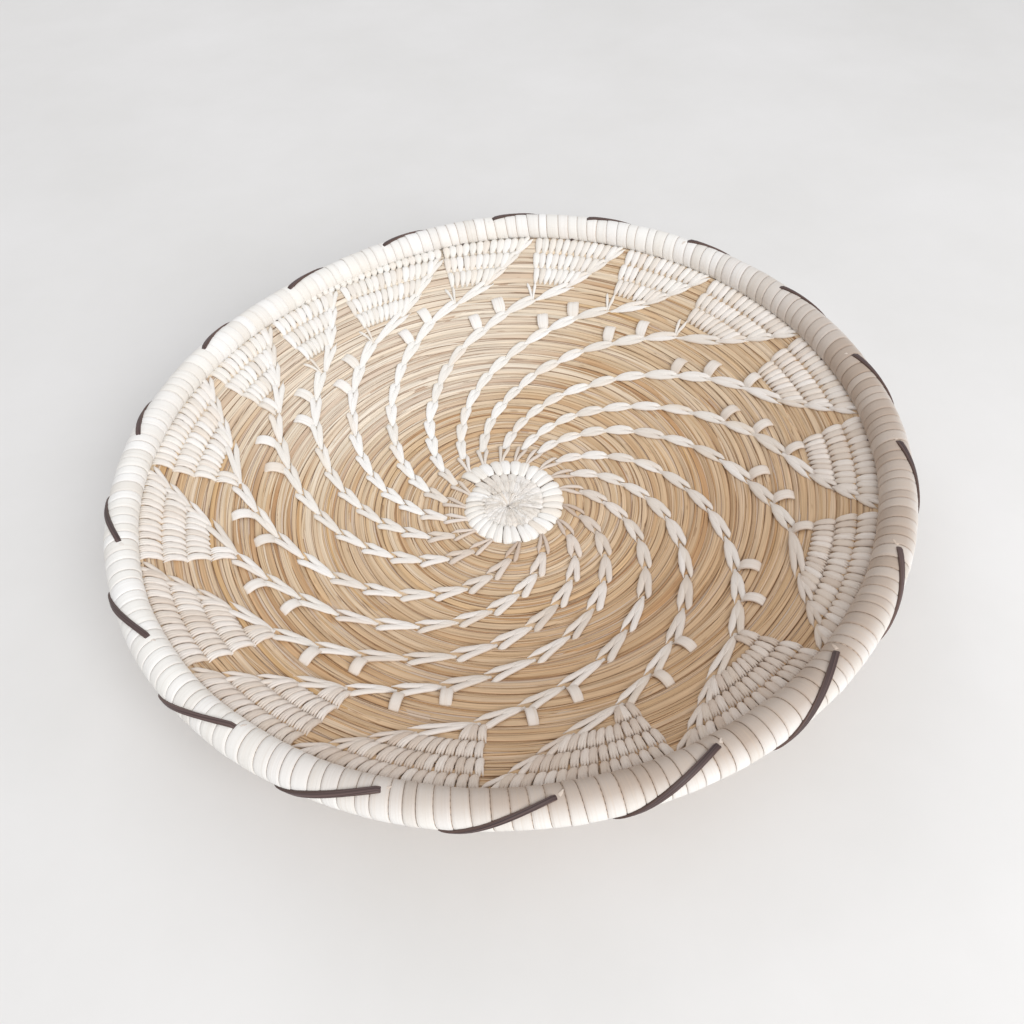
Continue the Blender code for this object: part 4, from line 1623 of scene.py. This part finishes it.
@dataclass
class StartKnot:
    """Wrapped start: tiers of worn, fuzzy ribs that run from a dimple to the ring's edge."""

    spiral: Spiral
    ribs: int = 27
    stations: int = 11
    half_widths: tuple[float, float] = (0.00024, 0.0015)
    thickness: float = 0.00055
    lift: float = 0.00024
    upper_lift: float = 0.00012
    sink: float = 0.0009
    unevenness: float = 0.00006
    overhang: float = 0.0014
    tier_shift: float = 0.0003
    least_upper_radius: float = 0.0016
    inner_radius: float = 0.0007
    dimple_depth: float = 0.0013
    dimple_radius: float = 0.0022
    fibres: int = 230
    fibre_stations: int = 6
    fibre_reach: float = 0.0095
    fibre_lengths: tuple[float, float] = (0.0012, 0.0034)
    fibre_arches: tuple[float, float] = (0.0001, 0.0006)
    fibre_lift: float = 0.00078
    fibre_half_width: float = 0.00009
    fibre_thickness: float = 0.00005
    under_ribs: int = 24
    under_stations: int = 9
    under_reach: tuple[float, float] = (0.0062, 0.0132)
    under_height: float = 0.0006
    under_half_widths: tuple[float, float] = (0.0002, 0.0015)
    under_thickness: float = 0.0005
    seed: int = 12

    def build(self, finishes: Finishes) -> None:
        """Make the knot's piece.

        Args:
            finishes: The basket's materials.
        """
        random = np.random.default_rng(self.seed)
        bunch = Bunch("start_knot_ribs")
        turn = -2.0 + (np.arange(self.ribs) + 0.5) / self.ribs
        angle = np.radians(self.spiral.angle_at(turn))
        edge = self.spiral.edge_radius(turn)
        inner = np.maximum(self.inner_radius, edge - self.tier_shift)
        outer = self.spiral.edge_radius(turn + 1.0) + self.overhang
        self.lay_ribs(bunch, random, angle, inner, outer, self.lift)
        wide = edge > self.least_upper_radius
        self.lay_ribs(bunch, random, angle[wide], np.full(int(wide.sum()), self.inner_radius),
                      edge[wide] + self.tier_shift, self.lift + self.upper_lift)
        self.lay_fuzz(bunch, random)
        self.lay_under(bunch, random)
        bunch.make([finishes.binding], ["start_knot"], "binding")

    def dimple(self, radius: Array) -> Array:
        """Depth of the dimple at distances from its middle."""
        return self.dimple_depth * np.exp(-(radius / self.dimple_radius) ** 2)

    def lay_ribs(self, bunch: Bunch, random: Random, angle: Array, inner: Array, outer: Array,
                 lift: float) -> None:
        """Lay one tier of ribs between two radii.

        Args:
            bunch: The piece that takes them.
            random: Source of seeded variation.
            angle: Angles of the ribs in radians.
            inner: Radii where they start.
            outer: Radii where they end.
            lift: Height above the flat middle.
        """
        count = len(angle)
        share = np.linspace(0.0, 1.0, self.stations)
        radius = inner[:, None] + (outer - inner)[:, None] * share
        turned = angle[:, None] + random.normal(0.0, 0.015, (count, 1)) + 0.10 * (share - 0.5)
        rise = lift - self.dimple(radius) - self.sink * np.abs(2.0 * share - 1.0) ** 4.0
        path = self.spiral.on_middle(turned, radius, rise + random.normal(0.0, self.unevenness, (count, 1)))
        half = np.clip(np.pi / self.ribs * radius * 1.22, *self.half_widths)
        half = half * random.uniform(0.85, 1.1, (count, 1))
        bunch.add(path, np.broadcast_to(UPWARD, path.shape), half, self.thickness, Profile.LEAF,
                  idents(random, count), 0.20, start_along=grain_starts(random, count))

    def lay_fuzz(self, bunch: Bunch, random: Random) -> None:
        """Lay short torn fibres over the worn ribs.

        Args:
            bunch: The piece that takes them.
            random: Source of seeded variation.
        """
        count = self.fibres
        start = np.sqrt(idents(random, count)) * self.fibre_reach
        angle = random.uniform(0.0, FULL_TURN, count)
        heading = angle + random.normal(0.0, 0.8, count)
        share = np.linspace(0.0, 1.0, self.fibre_stations)
        length = random.uniform(*self.fibre_lengths, count)[:, None] * share
        across = (start * np.cos(angle))[:, None] + length * np.cos(heading)[:, None]
        along = (start * np.sin(angle))[:, None] + length * np.sin(heading)[:, None]
        radius = np.hypot(across, along)
        arch = random.uniform(*self.fibre_arches, (count, 1)) * 4.0 * share * (1.0 - share)
        path = self.spiral.on_middle(np.arctan2(along, across), radius,
                                     self.fibre_lift - self.dimple(radius) + arch)
        half = self.fibre_half_width * np.interp(share, (0.0, 0.5, 1.0), (0.6, 1.0, 0.3))
        bunch.add(path, np.broadcast_to(UPWARD, path.shape), half, self.fibre_thickness, Profile.STEM,
                  idents(random, count), 0.1, start_along=grain_starts(random, count))

    def lay_under(self, bunch: Bunch, random: Random) -> None:
        """Lay the plain ribs on the knot's underside.

        Args:
            bunch: The piece that takes them.
            random: Source of seeded variation.
        """
        angle = np.radians(np.arange(self.under_ribs) * 360.0 / self.under_ribs)
        reach = np.interp((np.degrees(angle) - self.spiral.start_angle) % 360.0, (0.0, 360.0), self.under_reach)
        share = np.linspace(0.0, 1.0, self.under_stations)
        radius = self.inner_radius + (reach[:, None] - self.inner_radius) * share
        path = self.spiral.to_world(angle[:, None], radius, self.under_height)
        half = np.clip(np.pi / self.under_ribs * radius * 0.95, *self.under_half_widths)
        bunch.add(path, np.broadcast_to(-UPWARD, path.shape), half, self.under_thickness, Profile.LEAF,
                  idents(random, self.under_ribs), 0.4)


@dataclass
class RimCourse:
    """Course of the thick rim bundle over the last row, and its scalloped outline."""

    spiral: Spiral
    wrap_radius: float = 0.00475
    seat_angle: float = math.radians(47.0)
    swelling: float = 0.00032
    swelling_angle: float = 10.0
    contact: float = 0.00030
    droop: float = math.radians(8.0)
    droop_angle: float = 262.0
    lacings: int = 18
    lacing_first_angle: float = 133.5
    scallop: float = 0.00010
    far_angle: float = 95.0
    far_slimness: float = 0.00050
    far_rise: float = 0.00015
    scallop_shift: float = 7.0
    mean_swelling: float = 0.0001

    def far_share(self, theta: Array) -> Array:
        """Share of the far side's slimmer shape at an angle in degrees."""
        return np.maximum(0.0, np.cos(np.radians(theta - self.far_angle))) ** 2.0

    def swell(self, theta: Array) -> Array:
        """How much thicker than in the solids the rim is at an angle in degrees."""
        return self.swelling * np.cos(np.radians(theta - self.swelling_angle)) + self.mean_swelling

    def middle(self, theta: Array) -> tuple[Array, Array]:
        """Radius and height of the rim's middle.

        Args:
            theta: Angle along the rim in degrees.

        Returns:
            The radii and the heights.
        """
        spiral = self.spiral
        place = (spiral.turn_at(theta) + 0.5) % 1.0 - 0.5
        share = smooth_step(1.0 + (place + spiral.closed_turn) / spiral.closing_turn)
        radius = 0.0
        height = 0.0
        for weight, turn in ((1.0 - share, spiral.turns + place), (share, spiral.turns - 1.0 + place)):
            edge = spiral.edge_radius(turn + 0.5)
            slope = spiral.surface_slope(edge)
            half = spiral.half_height(turn)
            radius = radius + weight * (edge + half * np.sin(slope))
            height = height + weight * (spiral.base_thickness + spiral.surface_height(edge)
                                        - half * np.cos(slope))
        reach = float(spiral.bundle_radius(np.float64(spiral.turns - 1.0))) + self.contact + self.wrap_radius
        reach = reach + self.swell(theta)
        near = np.maximum(0.0, np.cos(np.radians(theta - self.droop_angle))) ** 2.0
        seat = self.seat_angle - self.droop * near
        height = height + self.far_rise * self.far_share(theta)
        return radius + reach * np.cos(seat), height + reach * np.sin(seat)

    def point(self, theta: Array, around: Array, size: Array) -> tuple[Array, Array]:
        """Points round the rim's section.

        Args:
            theta: Angle along the rim in degrees.
            around: Angle round the section in radians, 0 outward and a quarter turn up.
            size: Distance from the rim's middle.

        Returns:
            The points, and the unit vectors that face out of the rim there.
        """
        radius, height = self.middle(theta)
        angle = np.radians(theta)
        wave = np.cos(np.radians((theta - self.lacing_first_angle + self.scallop_shift) * self.lacings))
        size = size - self.scallop * wave + self.swell(theta) - self.far_slimness * self.far_share(theta)
        point = self.spiral.to_world(angle, radius + size * np.cos(around), height + size * np.sin(around))
        facing = np.stack(np.broadcast_arrays(np.cos(angle) * np.cos(around), np.sin(angle) * np.cos(around),
                                              np.sin(around)), axis=-1)
        return point, facing


@dataclass
class RimWrapping:
    """Close turns of pale strip round the rim bundle, in as many lengths as the solids."""

    course: RimCourse
    lengths: int = 24
    wraps_each: int = 8
    stations_each: int = 30
    thickness: float = 0.00030
    seam: float = 0.00009
    slant: float = 0.9
    wobble: float = 0.07
    unevenness: float = 0.00004
    start_around: float = math.radians(-130.0)
    middle_radius: float = 0.1145
    section_radius: float = 0.0045
    # the rim's painted shade: its angle shift, where it starts and how fast it grows, the share kept on the
    # outer side, and the angle round the section where it is deepest
    shade_shift: float = 22.0
    shade_start: float = 0.42
    shade_range: float = 0.48
    outer_shade_share: float = 0.15
    shaded_around: float = 2.3
    core_strands: int = 18
    core_stations: int = 361
    core_radius: float = 0.00410
    core_half_width: float = 0.00085
    core_thickness: float = 0.00035
    seed: int = 77

    def build(self, finishes: Finishes) -> None:
        """Make the lengths of wrapping and the bundle inside them.

        Args:
            finishes: The basket's materials.
        """
        random = np.random.default_rng(self.seed)
        total = self.lengths * self.wraps_each
        widths = random.uniform(0.78, 1.22, total)
        widths = widths / widths.sum() * 360.0
        edges = np.concatenate([[0.0], np.cumsum(widths)]) + self.course.spiral.start_angle
        share = np.linspace(0.0, 1.0, self.stations_each)
        phase = random.uniform(0.0, FULL_TURN, total + 1)
        phase[-1] = phase[0]
        bend = self.wobble * np.sin(FULL_TURN * share + phase[:, None])
        seams = edges[:, None] + 360.0 / total * self.slant * (share - 0.5) + bend
        for length in range(self.lengths):
            bunch = Bunch(f"rim_wrapping_{length + 1:02d}")
            first = length * self.wraps_each
            self.lay_wraps(bunch, random, seams[first:first + self.wraps_each + 1], share)
            bunch.make([finishes.wrapping], [f"rim_wrap_{length + 1:02d}"], "binding")
        self.build_core(finishes)

    def build_core(self, finishes: Finishes) -> None:
        """Make the bundle inside the wrapping, in the copy of the grass that is painted darker as shade.

        Args:
            finishes: The basket's materials.
        """
        core = Bunch("rim_bundle")
        theta = np.linspace(0.0, 360.0, self.core_stations)
        strand = np.arange(self.core_strands)
        around = FULL_TURN * (strand[:, None] + 0.0 * theta) / self.core_strands
        path, facing = self.course.point(np.broadcast_to(theta, around.shape), around, self.core_radius)
        core.add(path, facing, self.core_half_width, self.core_thickness, Profile.STEM,
                 (strand * IDENT_STEP) % 1.0, closed_ends=False)
        core.make([finishes.shaded_grass_core], ["rim_core"], "grass")

    def lay_wraps(self, bunch: Bunch, random: Random, seams: Array, share: Array) -> None:
        """Lay turns of strip round the rim, each between two seams.

        Args:
            bunch: The piece that takes them.
            random: Source of seeded variation.
            seams: Angles of the seams in degrees, as seam by station.
            share: Share of the way round the section at each station.
        """
        count = len(seams) - 1
        around = self.start_around - FULL_TURN * share
        theta = (seams[:-1] + seams[1:]) / 2.0
        radius = self.middle_radius + self.section_radius * np.cos(around)
        half = np.radians(seams[1:] - seams[:-1]) * radius / 2.0 - self.seam / 2.0
        size = self.course.wrap_radius - self.thickness + random.normal(0.0, self.unevenness, (count, 1))
        path, facing = self.course.point(theta, np.broadcast_to(around, theta.shape), size)
        # painted shade on the rim: darker towards the near right, and most on the side of the section that
        # turns up and inward, away from the key lamp; the random part is the wraps' own colour
        painted_shade = self.course.spiral.painted_shade(theta - self.shade_shift)
        shade = smooth_step((painted_shade - self.shade_start) / self.shade_range)
        turned_away = smooth_step(0.5 + 0.6 * np.cos(around - self.shaded_around))
        shade = shade * (self.outer_shade_share + (1.0 - self.outer_shade_share) * turned_away)
        tone = np.clip(0.03 + shade + random.uniform(-0.05, 0.09, (count, 1)), 0.0, 1.0)
        bunch.add(path, facing, half, self.thickness, Profile.TAPE, random.uniform(0.2, 0.85, count), tone,
                  start_along=grain_starts(random, count))


@dataclass
class RimLacing:
    """One dark strip laced over the rim, caught below it, with torn pale flaps where it pierces."""

    course: RimCourse
    width: float = 0.0016
    thickness: float = 0.00060
    stations: int = 34
    lift: float = 0.00005
    entry_depth: float = 0.0011
    entry_share: float = 0.035
    end_dip: Values = (0.0002, 0.9, 0.1)
    emerging: tuple[float, float] = (87.0, 106.0)
    end_around: float = math.radians(-150.0)
    angles: Values = (133.5, 112.5, 90.5, 72.5, 52.7, 32.5, 12.5, 353.0, 333.0, 313.5, 293.5, 274.0,
                                 254.5, 234.7, 216.0, 198.0, 176.5, 154.5)
    over_share: float = 0.70
    flap_stations: int = 7
    flap_reach: tuple[float, float] = (4.0, 26.0)
    flap_inset: float = 0.0003
    flap_curl: float = 0.00020
    flap_half_width: float = 0.0005
    flap_thickness: float = 0.00022
    seed: int = 5

    def build(self, finishes: Finishes) -> None:
        """Make the lacing and the flaps.

        Args:
            finishes: The basket's materials.
        """
        random = np.random.default_rng(self.seed)
        emerge = np.radians(random.uniform(*self.emerging, self.course.lacings))
        self.build_strip(finishes, random, emerge)
        self.build_flaps(finishes, random, emerge)

    def build_strip(self, finishes: Finishes, random: Random, emerge: Array) -> None:
        """Make the dark strip.

        Args:
            finishes: The basket's materials.
            random: Source of seeded variation.
            emerge: Angles round the rim's section at which it comes out.
        """
        bunch = Bunch("rim_lacing_strip")
        count = self.course.lacings
        share = np.linspace(0.0, 1.0, self.stations)
        around = emerge[:, None] + (self.end_around - emerge)[:, None] * share
        turned = (emerge[:, None] - around) / math.pi
        over = self.over_share * np.sin(np.pi / 2.0 * np.minimum(turned, 1.0))
        run = over + (1.0 - self.over_share) * np.maximum(turned - 1.0, 0.0)
        theta = np.array(self.angles)[:, None] - 360.0 / count * run
        sunk = self.entry_depth * (1.0 - smooth_step(share / self.entry_share)) + eased(share, *self.end_dip)
        path, facing = self.course.point(theta, around, self.course.wrap_radius + self.lift - sunk)
        half = self.width / 2.0 * random.uniform(0.88, 1.12, (count, 1))
        bunch.add(path, facing, half, self.thickness, Profile.TAPE, idents(random, count),
                  start_along=grain_starts(random, count))
        bunch.make([finishes.lacing], ["rim_lacing"], "lacing")

    def build_flaps(self, finishes: Finishes, random: Random, emerge: Array) -> None:
        """Make the torn flaps.

        Args:
            finishes: The basket's materials.
            random: Source of seeded variation.
            emerge: Angles round the rim's section at which the dark strip comes out.
        """
        flaps = Bunch("rim_torn_flaps")
        count = self.course.lacings
        start = np.array(self.angles)
        share = np.linspace(0.0, 1.0, self.flap_stations)
        around = emerge[:, None] + np.radians(random.uniform(*self.flap_reach, (count, 1))) * share
        curl = self.flap_curl * share * random.uniform(0.3, 1.0, (count, 1))
        theta = start[:, None] + random.uniform(0.2, 0.8, (count, 1)) * share
        path, facing = self.course.point(theta, around, self.course.wrap_radius - self.flap_inset + curl)
        half = self.flap_half_width * np.interp(share, (0.0, 0.6, 1.0), (1.0, 0.8, 0.25))
        # painted shade: flaps are painted warmer and darker by their angle
        flaps.add(path, facing, half, self.flap_thickness, Profile.TAPE, idents(random, count),
                  0.04 + 0.85 * self.course.spiral.painted_shade(start), start_along=grain_starts(random, count))
        flaps.make([finishes.binding], [], "binding")


@dataclass
class Studio:
    """Pale floor, soft lamps and the camera at the photograph's angle."""

    spiral: Spiral
    focal_pixels: float = 900.0
    image_pixels: float = 1024.0
    sensor: float = 36.0
    pitch: float = math.radians(49.516)
    roll: float = math.radians(3.088)
    distance: float = 0.298552
    pole_x: float = 508.893
    pole_y: float = 503.669
    nearest: float = 0.01
    floor_reach: float = 3.0
    floor_steps: int = 24
    room_light: float = 0.72
    backdrop_light: float = 1.0
    lamp_size: float = 0.8
    lamp_aim: tuple[float, float, float] = (0.0, 0.0, 0.02)

    def build(self) -> None:
        """Set up everything round the basket."""
        bpy.context.scene.view_settings.view_transform = "Standard"
        self.make_camera()
        self.make_floor()
        self.make_world()
        self.make_lamp("key", (0.50, -0.90, 0.75), 11.8)
        self.make_lamp("sheen", (-0.40, 0.95, 0.85), 2.5)

    def make_camera(self) -> None:
        """Put the camera where the photograph was taken from."""
        half = self.image_pixels / 2.0
        aside = (self.pole_x - half) / self.focal_pixels * self.distance
        above = -(self.pole_y - half) / self.focal_pixels * self.distance
        right = Vector((1.0, 0.0, 0.0))
        forward = Vector((0.0, math.cos(self.pitch), -math.sin(self.pitch)))
        up = Vector((0.0, math.sin(self.pitch), math.cos(self.pitch)))
        pole = Vector((self.spiral.middle_x, self.spiral.middle_y, self.spiral.base_thickness))
        place = pole - forward * self.distance - right * aside - up * above
        across = right * math.cos(self.roll) - up * math.sin(self.roll)
        upward = right * math.sin(self.roll) + up * math.cos(self.roll)
        turned = Matrix((across, upward, -forward)).transposed().to_4x4()
        data = bpy.data.cameras.new("camera")
        data.sensor_width = self.sensor
        data.lens = self.focal_pixels * self.sensor / self.image_pixels
        data.clip_start = self.nearest
        camera = bpy.data.objects.new("camera", data)
        camera.matrix_world = Matrix.Translation(place) @ turned
        bpy.context.scene.collection.objects.link(camera)
        bpy.context.scene.camera = camera

    def make_floor(self) -> None:
        """Lay a wide pale floor."""
        steps = self.floor_steps
        line = np.linspace(-self.floor_reach, self.floor_reach, steps + 1)
        points = [(float(x), float(y), 0.0) for y in line for x in line]
        faces = []
        for row in range(steps):
            for column in range(steps):
                corner = row * (steps + 1) + column
                faces.append((corner, corner + 1, corner + steps + 2, corner + steps + 1))
        mesh = bpy.data.meshes.new("floor")
        mesh.from_pydata(points, [], faces)
        mesh.materials.append(FloorFinish().make())
        floor = bpy.data.objects.new("floor", mesh)
        bpy.context.scene.collection.objects.link(floor)

    def make_world(self) -> None:
        """Light the scene softly from all round, and show a pale backdrop."""
        world = bpy.data.worlds.new("soft_room")
        bpy.context.scene.world = world
        world.use_nodes = True
        nodes = world.node_tree.nodes
        links = world.node_tree.links
        background = nodes["Background"]
        background.inputs["Color"].default_value = tint(236, 236, 238)
        rays = nodes.new("ShaderNodeLightPath")
        seen = rays.outputs["Is Camera Ray"]
        for kind in ("Is Glossy Ray", "Is Transmission Ray"):
            either = nodes.new("ShaderNodeMath")
            either.operation = "MAXIMUM"
            links.new(seen, either.inputs[0])
            links.new(rays.outputs[kind], either.inputs[1])
            seen = either.outputs[0]
        level = nodes.new("ShaderNodeMapRange")
        links.new(seen, level.inputs[0])
        level.inputs[3].default_value = self.room_light
        level.inputs[4].default_value = self.backdrop_light
        links.new(level.outputs[0], background.inputs["Strength"])

    def make_lamp(self, name: str, place: tuple[float, float, float], power: float) -> None:
        """Hang one soft square lamp that faces the basket.

        Args:
            name: Name of the lamp.
            place: Where it hangs.
            power: Its power in watts.
        """
        data = bpy.data.lights.new(name, "AREA")
        data.shape = "SQUARE"
        data.size = self.lamp_size
        data.energy = power
        lamp = bpy.data.objects.new(name, data)
        lamp.location = place
        toward = Vector(self.lamp_aim) - Vector(place)
        lamp.rotation_euler = toward.to_track_quat("-Z", "Y").to_euler()
        bpy.context.scene.collection.objects.link(lamp)


PETAL_ANGLES = (124.0, 140.0, 157.0, 179.5, 199.5, 221.0, 240.5, 265.0, 289.5,
                314.5, 342.0, 362.5, 383.5, 405.0, 423.3, 442.0, 461.0)
PETAL_FANS = (Fan.FORK, Fan.FORK, Fan.PAIR, Fan.PAIR, Fan.PAIR, Fan.THREE, Fan.THREE, Fan.THREE, Fan.THREE,
              Fan.PAIR, Fan.ARCH, Fan.ARCH, Fan.ARCH, Fan.FORK, Fan.FORK, Fan.FORK, Fan.FORK)


def main() -> None:
    """Build every part of the dressed basket in its order of making."""
    logging.basicConfig(level=logging.INFO, format="%(message)s")
    spiral = Spiral()
    finishes = Finishes.make()
    Studio(spiral).build()
    StartKnot(spiral).build(finishes)
    StartRing(spiral).build(finishes)
    GrassTurns(spiral).build(finishes)
    before = PETAL_ANGLES[-1] - 360.0
    for index, (right, fan) in enumerate(zip(PETAL_ANGLES, PETAL_FANS)):
        StitchLine(spiral, index + 1, right, right - before, fan).build(finishes)
        before = right
    course = RimCourse(spiral)
    RimWrapping(course).build(finishes)
    RimLacing(course).build(finishes)


if __name__ == "__main__":
    main()
